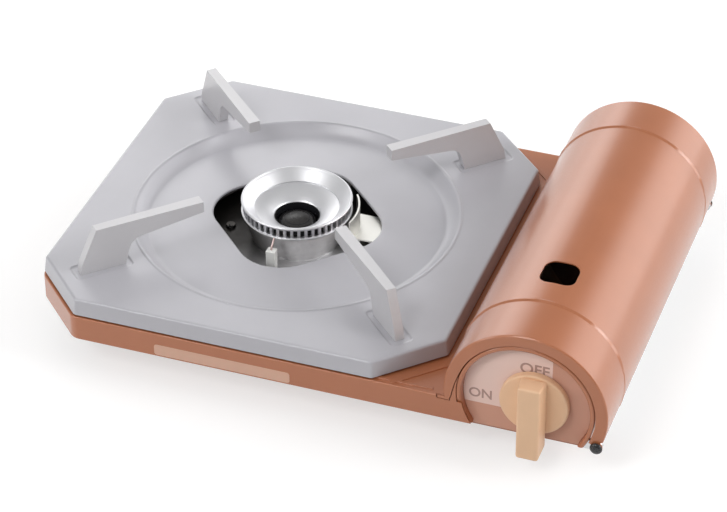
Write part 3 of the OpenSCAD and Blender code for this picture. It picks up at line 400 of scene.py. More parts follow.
def from_bmesh(name, bm, smooth=35.0):
    """Object from a bmesh, with edges under the angle shaded smooth."""
    limit = radians(smooth)
    for f in bm.faces:
        f.smooth = True
    for e in bm.edges:
        e.smooth = len(e.link_faces) == 2 and e.calc_face_angle(0.0) < limit
    mesh = bpy.data.meshes.new(name)
    bm.to_mesh(mesh)
    bm.free()
    return link_mesh(name, mesh)


def bevelled(obj, width, segments=2, angle=35.0):
    """Rounds the edges sharper than angle, in degrees."""
    modifier = obj.modifiers.new("edge", "BEVEL")
    modifier.width = width
    modifier.segments = segments
    modifier.limit_method = "ANGLE"
    modifier.angle_limit = radians(angle)
    modifier.miter_outer = "MITER_ARC"
    return obj


def baked(obj):
    """Applies the modifiers, so the piece is a plain mesh."""
    graph = bpy.context.evaluated_depsgraph_get()
    graph.update()
    mesh = bpy.data.meshes.new_from_object(obj.evaluated_get(graph))
    obj.modifiers.clear()
    obj.data = mesh
    return obj


# Merge distance, and the bend in degrees below which faces join
SAME_PLACE, SAME_FACE = 2e-6, 0.6


def rounded(bm, width, segments, wanted):
    """Rounds the convex edges that wanted picks by their middle and their run."""
    edges = [e for e in bm.edges
             if len(e.link_faces) == 2 and e.is_convex and e.calc_face_angle(0.0) > 0.4
             and wanted((e.verts[0].co + e.verts[1].co) / 2, e.verts[1].co - e.verts[0].co)]
    bmesh.ops.bevel(bm, geom=edges, offset=width, segments=segments, profile=0.5, affect="EDGES",
                    clamp_overlap=True)


def weighted(obj):
    """Normals that follow the large faces, so that folds read as crisp lines."""
    modifier = obj.modifiers.new("normals", "WEIGHTED_NORMAL")
    modifier.keep_sharp = True
    return obj


def dressed(node, bevel=0.0, look=None, smooth=30.0, name=None, folds=(), edge_angle=35.0):
    """A finer copy of a CAD node: its merged mesh with smooth curves and softened edges."""
    bm = bmesh.new()
    bm.from_mesh(NODES[node].data)
    bmesh.ops.remove_doubles(bm, verts=bm.verts, dist=SAME_PLACE)
    bmesh.ops.dissolve_limit(bm, angle_limit=radians(SAME_FACE), verts=bm.verts, edges=bm.edges)
    for width, segments, wanted in folds:
        rounded(bm, width, segments, wanted)
    obj = from_bmesh(name or node + "_skin", bm, smooth)
    if bevel:
        bevelled(obj, bevel, angle=edge_angle)
    baked(weighted(obj))
    return settle(obj, BODY_OF[node], SLOT_OF[node], [node], look)


def lathe(name, profile, centre, axis="Z", segments=160, smooth=35.0):
    """Closed ring mesh from (radius, height) points turned about an axis through centre."""
    bm = bmesh.new()
    rings = []
    for r, h in profile:
        if r < 1e-7:
            rings.append([bm.verts.new((0, 0, h))])
        else:
            turn = [2 * pi * i / segments for i in range(segments)]
            rings.append([bm.verts.new((r * cos(a), r * sin(a), h)) for a in turn])
    pairs = list(zip(rings, rings[1:]))
    if len(rings[0]) > 1 and len(rings[-1]) > 1:
        pairs.append((rings[-1], rings[0]))
    for low, high in pairs:
        for i in range(segments):
            j = (i + 1) % segments
            if len(low) == 1 and len(high) == 1:
                continue
            if len(low) == 1:
                bm.faces.new((low[0], high[j], high[i]))
            elif len(high) == 1:
                bm.faces.new((low[i], low[j], high[0]))
            else:
                bm.faces.new((low[i], low[j], high[j], high[i]))
    bmesh.ops.remove_doubles(bm, verts=bm.verts, dist=1e-7)
    turn = Matrix.Identity(4) if axis == "Z" else Matrix.Rotation(radians(-90), 4, "X")
    bmesh.ops.transform(bm, matrix=Matrix.Translation(centre) @ turn, verts=bm.verts)
    bmesh.ops.recalc_face_normals(bm, faces=bm.faces)
    return from_bmesh(name, bm, smooth)


def swept(name, sections, smooth=35.0):
    """Closed bar through a row of sections, with flat ends."""
    bm = bmesh.new()
    rows = [[bm.verts.new(point) for point in section] for section in sections]
    count = len(rows[0])
    for one, two in zip(rows, rows[1:]):
        for j in range(count):
            k = (j + 1) % count
            bm.faces.new((one[j], one[k], two[k], two[j]))
    bm.faces.new(rows[0])
    bm.faces.new(rows[-1])
    bmesh.ops.recalc_face_normals(bm, faces=bm.faces)
    return from_bmesh(name, bm, smooth)


def add_block(bm, size, place, turn=0.0):
    """Adds a block, turned about the vertical by degrees."""
    made = bmesh.ops.create_cube(bm, size=1.0)["verts"]
    bmesh.ops.scale(bm, verts=made, vec=size)
    if turn:
        bmesh.ops.rotate(bm, verts=made, matrix=Matrix.Rotation(radians(turn), 3, "Z"))
    bmesh.ops.translate(bm, verts=made, vec=place)


def arc(cx, cz, r, start, end, steps):
    """Points of an arc in a profile, angles in degrees."""
    angles = [radians(start + (end - start) * i / steps) for i in range(steps + 1)]
    return [(cx + r * cos(a), cz + r * sin(a)) for a in angles]


# ---- Tray ----


def rounded_square_reach(angle, half, corner):
    """Distance from the centre to a rounded square's edge along a direction."""
    angle = abs((angle + pi / 4) % (pi / 2) - pi / 4)
    if tan(angle) * half <= half - corner:
        return half / cos(angle)
    c = half - corner
    along = c * (cos(angle) + sin(angle))
    return along + sqrt(max(0.0, along * along - 2 * c * c + corner * corner))


def octagon_reach(angle, half, leg, corner):
    """Distance from the centre to a cut-cornered square's edge, with rounded corners."""
    slant = (2 * half - leg) / sqrt(2)
    reach = min(half / max(1e-6, abs(cos(angle))), half / max(1e-6, abs(sin(angle))))
    turned = (angle % (pi / 2)) - pi / 4
    cut = slant / max(1e-6, cos(turned))
    blend = corner * (sqrt(2) - 1) * 0.9
    h = max(0.0, blend - abs(reach - cut)) / blend
    return min(reach, cut) - h * h * blend * 0.25


def about_burner(turn, r, side, z):
    """A point by angle and distance from the burner, sideways offset and height."""
    return (BURNER.x + r * cos(turn) - side * sin(turn),
            BURNER.y + r * sin(turn) + side * cos(turn), z)


def smooth_step(t):
    t = max(0.0, min(1.0, t))
    return t * t * (3 - 2 * t)


# The tray's octagon: half its width at the roll's top, its cut corners' leg and rounding
TRAY_HALF = 119.4 * MM
TRAY_LEG = 32.3 * MM
TRAY_CORNER = 2.5 * MM
# Change of that leg for each unit that the sides move out
LEG_CHANGE = 0.586
# How far the skirt flares out on its way down
SKIRT_FLARE = 1.15 * MM
# Lip round the opening, and its gap to the cut edge
LIP = 0.9 * MM
LIP_GAP = 0.05 * MM
# Raised bead round the dish
DISH_BEAD_WIDTH = 2.6 * MM
DISH_BEAD_HEIGHT = 0.4 * MM
# Middle of a foot pad, from the burner, and the width of its sloping edge
PAD_MIDDLE = 120.8 * MM
PAD_EDGE = 0.8 * MM


def tray_reach(t, grow):
    """Distance from the burner to the tray's outline, moved out by grow."""
    return octagon_reach(t, TRAY_HALF + grow, TRAY_LEG + LEG_CHANGE * grow, TRAY_CORNER)


def tray_turns():
    """Angles round the burner, closer at the foot pads' sides and the cut corners."""
    turns = []
    a = 0.0
    while a < 360 - 1e-6:
        turns.append(radians(a))
        off = abs((a % 90) - 45)
        near_edge = 1.9 < off < 4.4
        near_corner = 7.7 < off < 10.3
        a += 0.14 if near_edge else 0.25 if near_corner else 0.95
    return turns


def flat_shares(s):
    """Rows of the flat top, as shares of the way from the dish to the roll; radii in mm."""
    pad_ends = [end + step for end in (103.8, 137.8)
                for step in (-1.2, -0.7, -0.25, 0.25, 0.7, 1.2)]
    rows = sorted([94.5, 96, 98.5, 101, 107, 111, 116, 121, 126, 131, 142, 146] + pad_ends)
    rim_out = tray_reach(pi / 4, -s.edge_roll)
    return [(r * MM - s.dish_radius) / (rim_out - s.dish_radius) for r in rows
            if s.dish_radius + DISH_BEAD_WIDTH < r * MM < rim_out - 1 * MM]


def pad_sink(s, t, r):
    """How far the flat top is pressed down at a place, for the trivet's feet."""
    turned = (t % (pi / 2)) - pi / 4
    along = abs(r * cos(turned) - PAD_MIDDLE) - s.pad_length / 2 + TRAY_CORNER
    across = abs(r * sin(turned)) - s.pad_width / 2 + TRAY_CORNER
    outside = (min(max(along, across), 0.0)
               + hypot(max(along, 0.0), max(across, 0.0)) - TRAY_CORNER)
    return s.pad_depth * smooth_step(0.5 - outside / PAD_EDGE)


def tray_line(s, t, shares):
    """The tray's upper side at an angle round the burner, from the opening to the hem."""
    top = TRAY_TOP
    floor_out = s.dish_radius - s.dish_wall
    opening = rounded_square_reach(t - pi / 4, s.opening_half, s.opening_round)
    rise_run = floor_out - s.opening_half + 6 * MM
    edge_z = top - s.dish_drop + s.dish_rise * (floor_out - opening) / rise_run
    line = [(opening + LIP_GAP, edge_z - 1.5 * LIP)]
    for b in (0, 30, 60, 90):
        turn = radians(b)
        line.append((opening + LIP_GAP + LIP - LIP * cos(turn),
                     edge_z - LIP + LIP * sin(turn)))
    # Floor of the dish, its wall, and the bead round it
    for i in range(1, 8):
        share = i / 8
        line.append((opening + LIP + (floor_out - opening - LIP) * share,
                     edge_z + (top - s.dish_drop - edge_z) * share))
    for i in range(13):
        share = i / 12
        line.append((floor_out + s.dish_wall * share,
                     top - s.dish_drop * cos(pi * share / 2)))
    for i in range(1, 9):
        line.append((s.dish_radius + DISH_BEAD_WIDTH * i / 8,
                     top + DISH_BEAD_HEIGHT * sin(pi * i / 8) ** 2))
    # Flat top with the foot pads, the edge's roll, and the skirt
    outer = tray_reach(t, -s.edge_roll)
    for share in shares:
        r = s.dish_radius + (outer - s.dish_radius) * share
        line.append((r, top - pad_sink(s, t, r)))
    for b in (90, 72, 54, 36, 18, 0):
        turn = radians(b)
        line.append((tray_reach(t, s.edge_roll * cos(turn) - s.edge_roll),
                     top - s.edge_roll + s.edge_roll * sin(turn)))
    for share in (0.3, 0.65, 1.0):
        line.append((tray_reach(t, SKIRT_FLARE * share),
                     top - s.edge_roll + (TRAY_LOW - top + s.edge_roll) * share))
    return line


def tray_mesh():
    """The tray's upper side as one open sheet."""
    s = bpy.context.scene.stove_tray
    shares = flat_shares(s)
    bm = bmesh.new()
    rings = [[bm.verts.new(about_burner(t, r, 0.0, z)) for r, z in tray_line(s, t, shares)]
             for t in tray_turns()]
    for i, ring in enumerate(rings):
        after = rings[(i + 1) % len(rings)]
        for j in range(len(ring) - 1):
            bm.faces.new((ring[j], ring[j + 1], after[j + 1], after[j]))
    bmesh.ops.recalc_face_normals(bm, faces=bm.faces)
    if sum(f.normal.z * f.calc_area() for f in bm.faces) < 0:
        bmesh.ops.reverse_faces(bm, faces=bm.faces)
    return bm


class STOVE_OT_tray(bpy.types.Operator):
    """Drip tray: a pressed sheet with a dish, foot pads, a rolled edge and a skirt"""
    bl_idname = "stove.tray"
    bl_label = "Drip tray"

    def execute(self, context):
        obj = from_bmesh("drip_tray_sheet", tray_mesh(), 40)
        thick = obj.modifiers.new("sheet", "SOLIDIFY")
        thick.thickness = context.scene.stove_tray.sheet
        thick.offset = -1
        baked(weighted(obj))
        settle(obj, "tray", "grey", ["drip_tray"])
        return {"FINISHED"}


# Inner edge of an arm's foot in mm: distance from the burner, height above the foot
WEB_LINE = ((107.3, 0.0), (104.9, 9.0), (103.1, 13.0), (100.3, 15.2), (97.3, 16.0))
# Web's cross-section in mm: how far behind that edge, and to which side
WEB_SECTION = ((0.0, -2.0), (0.0, 2.0), (0.8, 2.0), (0.8, -2.0))
WEB_LIFT = 0.25
WEB_SLOPE = 0.5
# How far the foot's tabs reach below it, and the rounding of an arm's edges
TAB_DEPTH = 2.9 * MM
ARM_ROUND = 0.9 * MM


def foot_web(place, turn):
    """The bent sheet that closes the hollow of an arm's foot."""
    foot_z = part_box("trivet_arm_front_left")[0].z + TAB_DEPTH
    sections = [[about_burner(turn, (reach + back) * MM, side * MM,
                              foot_z + (z + WEB_LIFT - WEB_SLOPE * back) * MM)
                 for back, side in WEB_SECTION] for reach, z in WEB_LINE]
    settle(swept("foot_web_" + place, sections), "tray", look="arms")


class STOVE_OT_trivet(bpy.types.Operator):
    """Four trivet arms of folded sheet, each with a web that closes its foot"""
    bl_idname = "stove.trivet"
    bl_label = "Trivet arms"

    def execute(self, context):
        for place in ("front_left", "front_right", "back_left", "back_right"):
            dressed("trivet_arm_" + place, ARM_ROUND, "arms")
        for i, place in enumerate(("back_right", "back_left", "front_left", "front_right")):
            foot_web(place, radians(45 + 90 * i))
        return {"FINISHED"}


# ---- Case ----


COVER_AXIS_Z = 41 * MM
COVER_HALF_WIDTH = 45.98 * MM
# Places of the cover's beads, from its front end and its rear end
FRONT_BEAD, REAR_BEAD = 34 * MM, 28.6 * MM
# Section of a bead in mm: along the cover, out from its surface, share of the crest's rise
BEAD_SECTION = ((-2.0, -0.32, 0), (-0.5, 0.0, 1), (0.3, 0.0, 1),
                (1.1, -0.32, 0), (1.1, -0.6, 0), (-2.0, -0.6, 0))
# Rows to each side of the top, their pitch in degrees, the crest's rise and its taper, in mm
BEAD_ROWS, BEAD_PITCH, BEAD_RISE, BEAD_TAPER = 52, 1.5, 0.4, 0.04


def cover_bead(name, y):
    """Bead over the cover, level with its top there and fuller at the sides."""
    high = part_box("cartridge_cover")[1]
    crest = high.z - COVER_AXIS_Z
    sections = []
    for i in range(-BEAD_ROWS, BEAD_ROWS + 1):
        turn = radians(BEAD_PITCH * i)
        room = crest / MM * (1 / cos(turn) - 1)
        rise = min(BEAD_RISE, room, BEAD_TAPER * (BEAD_ROWS + 1 - abs(i)))
        section = []
        for along, out, up in BEAD_SECTION:
            r = crest + (out + up * rise) * MM
            section.append((high.x - COVER_HALF_WIDTH + r * sin(turn), y + along * MM,
                            COVER_AXIS_Z + r * cos(turn)))
        sections.append(section)
    settle(swept("cover_bead_" + name, sections, 15), "cover", look="bead")


# Rounding of the case's folded corners and of its deck's folds
CORNER_ROUND, DECK_ROUND = 3.2 * MM, 0.8 * MM
# Reach of those corners from the left; radius and right end of the deck's folds
CORNER_REACH, FOLD_REACH, FOLD_END = 34 * MM, 100 * MM, 74 * MM
# How far the visible dial reaches below its solid
DIAL_DROP = 2.4 * MM


class STOVE_OT_case(bpy.types.Operator):
    """Case, front ring and cartridge cover with softened edges"""
    bl_idname = "stove.case"
    bl_label = "Case and cover"

    def execute(self, context):
        def wall_corner(mid, run):
            return mid.x < CASE_LEFT + CORNER_REACH and abs(run.z) > 8 * MM

        def deck_fold(mid, run):
            far = hypot(mid.x - BURNER.x, mid.y - BURNER.y) > FOLD_REACH
            level = abs(mid.z - DECK_TOP) < 0.02 * MM and abs(run.z) < 0.01 * MM
            return far and mid.x < FOLD_END and level

        dressed("upper_shell", 0.12 * MM,
                folds=[(CORNER_ROUND, 5, wall_corner), (DECK_ROUND, 4, deck_fold)])
        dressed("front_boss", smooth=50)
        dressed("cartridge_cover", 0.25 * MM, smooth=22, edge_angle=50)
        cover_low, cover_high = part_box("cartridge_cover")
        cover_bead("front", cover_low.y + FRONT_BEAD)
        cover_bead("rear", cover_high.y - REAR_BEAD)
        panel = dressed("dial_panel", 0.25 * MM)
        panel_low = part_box("dial_panel")[0].z
        for v in panel.data.vertices:
            if v.co.z < panel_low + 1 * MM:
                v.co.z -= DIAL_DROP
        dressed("bottom_pan", look="copper")
        for node in ("cartridge_trough", "partition_plate", "bulkhead", "hinge_caps",
                     "rubber_feet"):
            dressed(node)
        return {"FINISHED"}


# Label plate: from the case's left side, above the table, its corners and its thickness
PLATE_LEFT, PLATE_RIGHT = 81.3 * MM, 161.3 * MM
PLATE_LOW, PLATE_HIGH = 21.9 * MM, 28.9 * MM
PLATE_CORNER = 1.6 * MM
PLATE_THICK = 0.12 * MM


class STOVE_OT_plate(bpy.types.Operator):
    """Bare label plate on the front wall"""
    bl_idname = "stove.plate"
    bl_label = "Label plate"

    def execute(self, context):
        bm = bmesh.new()
        r = PLATE_CORNER
        left, right = CASE_LEFT + PLATE_LEFT + r, CASE_LEFT + PLATE_RIGHT - r
        low, high = PLATE_LOW + r, PLATE_HIGH - r
        corners = ((right, high, 0), (left, high, 90), (left, low, 180), (right, low, 270))
        outline = [p for cx, cz, a in corners for p in arc(cx, cz, r, a, a + 90, 6)]
        face = bm.faces.new([bm.verts.new((x, CASE_FRONT, z)) for x, z in outline])
        made = bmesh.ops.extrude_face_region(bm, geom=[face])
        moved = [v for v in made["geom"] if isinstance(v, bmesh.types.BMVert)]
        bmesh.ops.translate(bm, verts=moved, vec=(0, -PLATE_THICK, 0))
        bmesh.ops.recalc_face_normals(bm, faces=bm.faces)
        settle(from_bmesh("label_plate", bm), "base", "copper", look="plate")
        return {"FINISHED"}


# ---- Dial and knob ----


KNOB_DISC = 4.2 * MM
DISC_ROUND = 1.2 * MM
# Corners of the grip at the disc and at its front, in mm right of and above the knob's axis
GRIP_BASE = ((-7.4, -25.8), (7.4, -25.8), (7.4, 17.4), (-7.4, 17.4))
GRIP_TIP = ((-6.2, -29.8), (6.2, -29.8), (6.2, 17.4), (-6.2, 17.4))


def knob_disc(low, high, face):
    """The knob's disc, from its back to its rounded face."""
    r = (high.x - low.x) / 2
    back = high.y
    profile = [(0, back), (r - 0.3 * MM, back), (r, back - 0.3 * MM), (r, face + DISC_ROUND)]
    for b in (15, 30, 45, 60, 75, 90):
        a = radians(b)
        profile.append((r - DISC_ROUND + DISC_ROUND * cos(a),
                        face + DISC_ROUND - DISC_ROUND * sin(a)))
    profile += [(r - 4 * MM, face - 0.02 * MM), (0, face - 0.02 * MM)]
    return lathe("knob_disc", [(p, q - KNOB.y) for p, q in profile], KNOB, "Y", 128)


def knob_grip(front, face):
    """The tapered grip across the disc."""
    bm = bmesh.new()
    base, tip = ([bm.verts.new((KNOB.x + x * MM, y, KNOB.z + z * MM)) for x, z in corners]
                 for corners, y in ((GRIP_BASE, face + 0.3 * MM), (GRIP_TIP, front)))
    bm.faces.new(base)
    bm.faces.new(tip[::-1])
    for i in range(4):
        j = (i + 1) % 4
        bm.faces.new((base[j], base[i], tip[i], tip[j]))
    bmesh.ops.recalc_face_normals(bm, faces=bm.faces)
    grip = baked(bevelled(from_bmesh("knob_grip", bm), 1.3 * MM, 5))
    for p in grip.data.polygons:
        p.use_smooth = True
    return grip


class STOVE_OT_knob(bpy.types.Operator):
    """Moulded knob: a disc and a tapered grip with softened edges"""
    bl_idname = "stove.knob"
    bl_label = "Knob"

    def execute(self, context):
        low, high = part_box("control_knob")
        face = high.y - KNOB_DISC
        settle(knob_disc(low, high, face), "knob", "beige")
        settle(knob_grip(low.y, face), "knob", "beige", ["control_knob"])
        return {"FINISHED"}


# Words in mm: text, place right of and above the knob's axis, height
DIAL_WORDS = (("OFF", -1.1, 17.0, 9.4), ("ON", -30.6, -6.0, 8.4))
WORD_DEPTH = 0.05 * MM
# How far the letters' outlines are moved out
WORD_WEIGHT = 0.14 * MM


class STOVE_OT_dial(bpy.types.Operator):
    """Generic ON and OFF words on the dial"""
    bl_idname = "stove.dial"
    bl_label = "Dial words"

    def execute(self, context):
        for text, x, z, size in DIAL_WORDS:
            curve = bpy.data.curves.new("word", "FONT")
            curve.body = text
            curve.size = size * MM
            curve.align_x = "CENTER"
            curve.extrude = WORD_DEPTH
            curve.offset = WORD_WEIGHT
            holder = bpy.data.objects.new("word", curve)
            context.scene.collection.objects.link(holder)
            graph = context.evaluated_depsgraph_get()
            mesh = bpy.data.meshes.new_from_object(holder.evaluated_get(graph))
            bpy.data.objects.remove(holder)
            obj = link_mesh("dial_word_" + text.lower(), mesh)
            spot = Vector((KNOB.x + x * MM, DIAL_FACE - 0.03 * MM, KNOB.z + z * MM))
            upright = Matrix.Rotation(radians(90), 4, "X")
            mesh.transform(Matrix.Translation(spot) @ upright)
            settle(obj, "base", "dial", look="words")
        return {"FINISHED"}


# ---- Burner ----


# Radius of the cap's eye, in mm
EYE = 13.1


def about_axis(name, rows, segments=160, smooth=35.0):
    """Ring about the burner's axis, from (radius, height) rows in mm."""
    return lathe(name, [(r * MM, z * MM) for r, z in rows], BURNER, "Z", segments, smooth)


def burner_cap(roll):
    """Funnel cap: rolled rim, outer slope, a step, inner slope, eye, and its underside."""
    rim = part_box("burner_cap")[1].z / MM
    rim_r = (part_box("burner_cap")[1].x - BURNER.x) / MM
    rows = [(rim_r - 1.1, rim - 1.7)] + arc(rim_r - roll, rim - roll, roll, -30, 150, 14)
    rows += [(rim_r - 2.2, rim - 0.75), (rim_r - 2.8, rim - 1.15), (24.9, rim - 5.7),
             (24.6, rim - 5.9), (24.5, rim - 6.6), (24.1, rim - 6.75), (23.7, rim - 6.7),
             (EYE + 1.0, rim - 11.9), (EYE + 0.3, rim - 12.4), (EYE, rim - 13.0),
             (EYE, rim - 17.2), (EYE + 1.0, rim - 17.2), (EYE + 1.0, rim - 13.3),
             (23.6, rim - 8.1), (24.9, rim - 7.4), (rim_r - 3.1, rim - 3.2),
             (rim_r - 3.1, rim - 1.7)]
    settle(about_axis("burner_funnel", rows, 192, 40), "base", "aluminium", ["burner_cap"])

    # Glossy black dome in the eye, and a black sleeve round it that is painted shade on the eye's
    # wall
    dome, dome_r, dome_h = rim - 13.4, 12.1, 5.5
    rows = [(0, dome)]
    for b in range(6, 91, 6):
        a = radians(b)
        rows.append((dome_r * sin(a), dome - dome_h + dome_h * cos(a)))
    rows += [(dome_r, dome - 7), (0, dome - 7)]
    settle(about_axis("burner_dome", rows, 96, 60), "base", "black_enamel", look="glaze")
    rows = [(EYE - 0.35, rim - 18.0), (EYE - 0.35, rim - 12.9), (EYE - 0.02, rim - 12.7),
            (EYE - 0.02, rim - 18.0)]
    settle(about_axis("burner_eye_sleeve", rows), "base", "black_enamel", look="glaze")


# Cross recess of a shield screw: arm's length, width and height, and the screws' circle
RECESS = (3.8 * MM, 0.8 * MM, 0.12 * MM)
SCREW_CIRCLE = 40 * MM


def screw_crosses():
    """Cross recesses on the two shield screws, as thin blocks painted black for the recesses'
    shade.
    """
    low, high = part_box("shield_screws")
    bm = bmesh.new()
    for side in (low, high):
        head = BURNER + (Vector((side.x, side.y, 0)) - BURNER).normalized() * SCREW_CIRCLE
        for turn in (30, 120):
            add_block(bm, RECESS, (head.x, head.y, high.z), turn)
    settle(from_bmesh("shield_screw_cross", bm), "base", "bright", look="soot")


def electrode_block():
    """The electrode's square ceramic block with softened edges."""
    low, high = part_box("electrode")
    trim = 0.5 * MM
    bm = bmesh.new()
    add_block(bm, (5.4 * MM, 5.0 * MM, high.z - low.z - trim),
              (low + high) / 2 - Vector((0, 0, trim / 2)))
    block = baked(bevelled(from_bmesh("electrode_block", bm), 0.45 * MM, 3))
    settle(block, "base", "ceramic", ["electrode"])


class STOVE_OT_burner(bpy.types.Operator):
    """Burner cap, core, cup, heat shield and panel, and electrode"""
    bl_idname = "stove.burner"
    bl_label = "Burner"

    def execute(self, context):
        burner_cap(context.scene.stove_burner.rim_roll / MM)
        dressed("burner_core", 0.0, "black_enamel", name="burner_core_frame")
        # The cup and the shield take the shield finish, whose dark back and lit front are painted
        # shade and light
        dressed("burner_base", look="shield", smooth=40)
        dressed("heat_shield", look="shield")
        dressed("shield_screws", look="dark_screw")
        screw_crosses()
        dressed("heat_panel", 0.25 * MM, "cream")
        electrode_block()
        dressed("electrode_bracket")
        dressed("electrode_wire", look="wire")
        return {"FINISHED"}


def ports_tree(name):
    """Geometry Nodes: posts between the flame ports, set round the burner's ring."""
    tree = bpy.data.node_groups.new(name, "GeometryNodeTree")
    face = tree.interface
    face.new_socket("Geometry", in_out="OUTPUT", socket_type="NodeSocketGeometry")
    face.new_socket("Count", in_out="INPUT", socket_type="NodeSocketInt")
    for label in ("Radius", "Width", "Depth", "Height", "Level"):
        face.new_socket(label, in_out="INPUT", socket_type="NodeSocketFloat")
    face.new_socket("Material", in_out="INPUT", socket_type="NodeSocketMaterial")
    add, wire = tree.nodes.new, tree.links.new
    inputs, outputs = add("NodeGroupInput"), add("NodeGroupOutput")
    ring = add("GeometryNodeMeshCircle")
    wire(inputs.outputs["Count"], ring.inputs["Vertices"])
    wire(inputs.outputs["Radius"], ring.inputs["Radius"])
    size = add("ShaderNodeCombineXYZ")
    for i, label in enumerate(("Depth", "Width", "Height")):
        wire(inputs.outputs[label], size.inputs[i])
    post = add("GeometryNodeMeshCube")
    wire(size.outputs[0], post.inputs["Size"])
    position = add("GeometryNodeInputPosition")
    turn = add("FunctionNodeAlignEulerToVector")
    turn.axis = "X"
    wire(position.outputs[0], turn.inputs["Vector"])
    copies = add("GeometryNodeInstanceOnPoints")
    wire(ring.outputs[0], copies.inputs["Points"])
    wire(post.outputs["Mesh"], copies.inputs["Instance"])
    wire(turn.outputs[0], copies.inputs["Rotation"])
    lift = add("ShaderNodeCombineXYZ")
    lift.inputs[0].default_value = BURNER.x
    lift.inputs[1].default_value = BURNER.y
    wire(inputs.outputs["Level"], lift.inputs[2])
    move = add("GeometryNodeTransform")
    wire(copies.outputs[0], move.inputs["Geometry"])
    wire(lift.outputs[0], move.inputs["Translation"])
    real = add("GeometryNodeRealizeInstances")
    wire(move.outputs[0], real.inputs[0])
    paint = add("GeometryNodeSetMaterial")
    wire(real.outputs[0], paint.inputs["Geometry"])
    wire(inputs.outputs["Material"], paint.inputs["Material"])
    wire(paint.outputs[0], outputs.inputs[0])
    return tree


def grown(name, tree, values):
    """A plain mesh from a Geometry Nodes tree and its named inputs."""
    obj = link_mesh(name, bpy.data.meshes.new(name))
    modifier = obj.modifiers.new("grow", "NODES")
    modifier.node_group = tree
    for item in tree.interface.items_tree:
        if item.in_out == "INPUT" and item.name in values:
            modifier[item.identifier] = values[item.name]
    return baked(obj)


class STOVE_OT_ports(bpy.types.Operator):
    """Slotted flame ring: two bands, the posts between the ports, and a black ring behind them as
    painted shade
    """
    bl_idname = "stove.ports"
    bl_label = "Flame ports"

    def execute(self, context):
        s = context.scene.stove_burner
        low, high = (corner.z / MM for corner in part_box("burner_ring"))
        rim = (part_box("burner_ring")[1].x - BURNER.x) / MM
        outer = rim - 0.8
        inner = outer - 2
        slot_low, slot_high = low + 1.1, low + 5.9
        # Lower band with a rolled foot, then the upper band
        rows = [(inner, low), (rim - 0.2, low), (rim, low + 0.2), (rim, low + 0.55),
                (rim - 0.2, low + 0.75), (outer, low + 0.9), (outer, slot_low), (inner, slot_low)]
        settle(about_axis("port_band_low", rows), "base", "aluminium")
        rows = [(inner, slot_high), (outer, slot_high), (outer, high), (inner, high)]
        settle(about_axis("port_band_high", rows), "base", "aluminium")
        middle_r = (outer - 1) * MM
        posts = grown("port_posts", ports_tree("flame_ports"), {
            "Count": s.ports, "Radius": middle_r,
            "Width": 2 * pi * middle_r / s.ports - s.port_width, "Depth": 1.9 * MM,
            "Height": (slot_high - slot_low) * MM, "Level": (slot_low + slot_high) / 2 * MM,
            "Material": finish("aluminium")})
        settle(posts, "base", "aluminium", ["burner_ring"])
        # Black ring behind the posts: painted shade inside the flame ring
        rows = [(inner - 0.4, low + 0.3), (inner - 0.1, low + 0.3), (inner - 0.1, high),
                (inner - 0.4, high)]
        settle(about_axis("port_shadow", rows), "base", "aluminium", look="soot")
        return {"FINISHED"}


# ---- What stays as its solid ----


class STOVE_OT_carried(bpy.types.Operator):
    """Finishes for the parts that keep their own solids"""
    bl_idname = "stove.carried"
    bl_label = "Other parts"

    def execute(self, context):
        for name, obj in NODES.items():
            if not obj.hide_render:
                obj.data.materials.clear()
                obj.data.materials.append(finish(SLOT_OF[name]))
        return {"FINISHED"}


# ---- Stage ----


def softbox(name, place, size, watts):
    """Square area light that looks at the frame's origin."""
    light = bpy.data.lights.new(name, "AREA")
    light.size = size
    light.energy = watts
    holder = bpy.data.objects.new(name, light)
    holder.location = place
    holder.rotation_mode = "QUATERNION"
    holder.rotation_quaternion = (-Vector(place)).to_track_quat("-Z", "Y")
    bpy.context.scene.collection.objects.link(holder)


# Brightness of the studio's front and back
LEVELS = ((0.0, 0.44), (1.0, 0.84))
# Dark flag and bright windows: direction, inner and outer angle, change of level
LOBES = (
    ((-0.02, 0.76, 0.65), 5, 20, -0.4),
    ((0.62, 0.76, 0.22), 10, 30, 2.4),
    ((-0.6, 0.76, 0.2), 8, 27, 1.25),
    ((0.0, 1.0, 0.08), 5, 22, 1.2),
    ((0.86, 0.1, 0.5), 5, 16, 11.0),
    ((0.98, 0.15, 0.13), 4, 13, 6.0),
    ((-0.27, -0.59, 0.76), 6, 14, 9.0),
)
FLOOR_HALF = 6
FLOOR_GLOW = 0.56
LENS = 145.04
CAMERA_ROLL = radians(-0.39)
# Where the camera looks, in mm from the burner's foot, and from how far
CAMERA_AIM = Vector((51.1, -29.7, 47.9))
CAMERA_RANGE = 1653.3


def pale_floor(base):
    """Flat floor that keeps the shadow, lifted to white where it is seen or mirrored."""
    h = FLOOR_HALF
    bm = bmesh.new()
    bm.faces.new([bm.verts.new((x, y, 0)) for x, y in ((-h, -h), (h, -h), (h, h), (-h, h))])
    floor = from_bmesh("floor", bm)
    look = Shading("floor_white").surface(base, 0.9)
    paths = look.node("ShaderNodeLightPath").outputs
    mirrored = look.math("MAXIMUM", paths["Is Glossy Ray"], paths["Is Transmission Ray"])
    seen = look.math("MAXIMUM", paths["Is Camera Ray"], mirrored)
    look.shader.inputs["Emission Color"].default_value = (1, 1, 1, 1)
    look.link(look.math("MULTIPLY", seen, FLOOR_GLOW), look.shader.inputs["Emission Strength"])
    floor.data.materials.append(look.material)


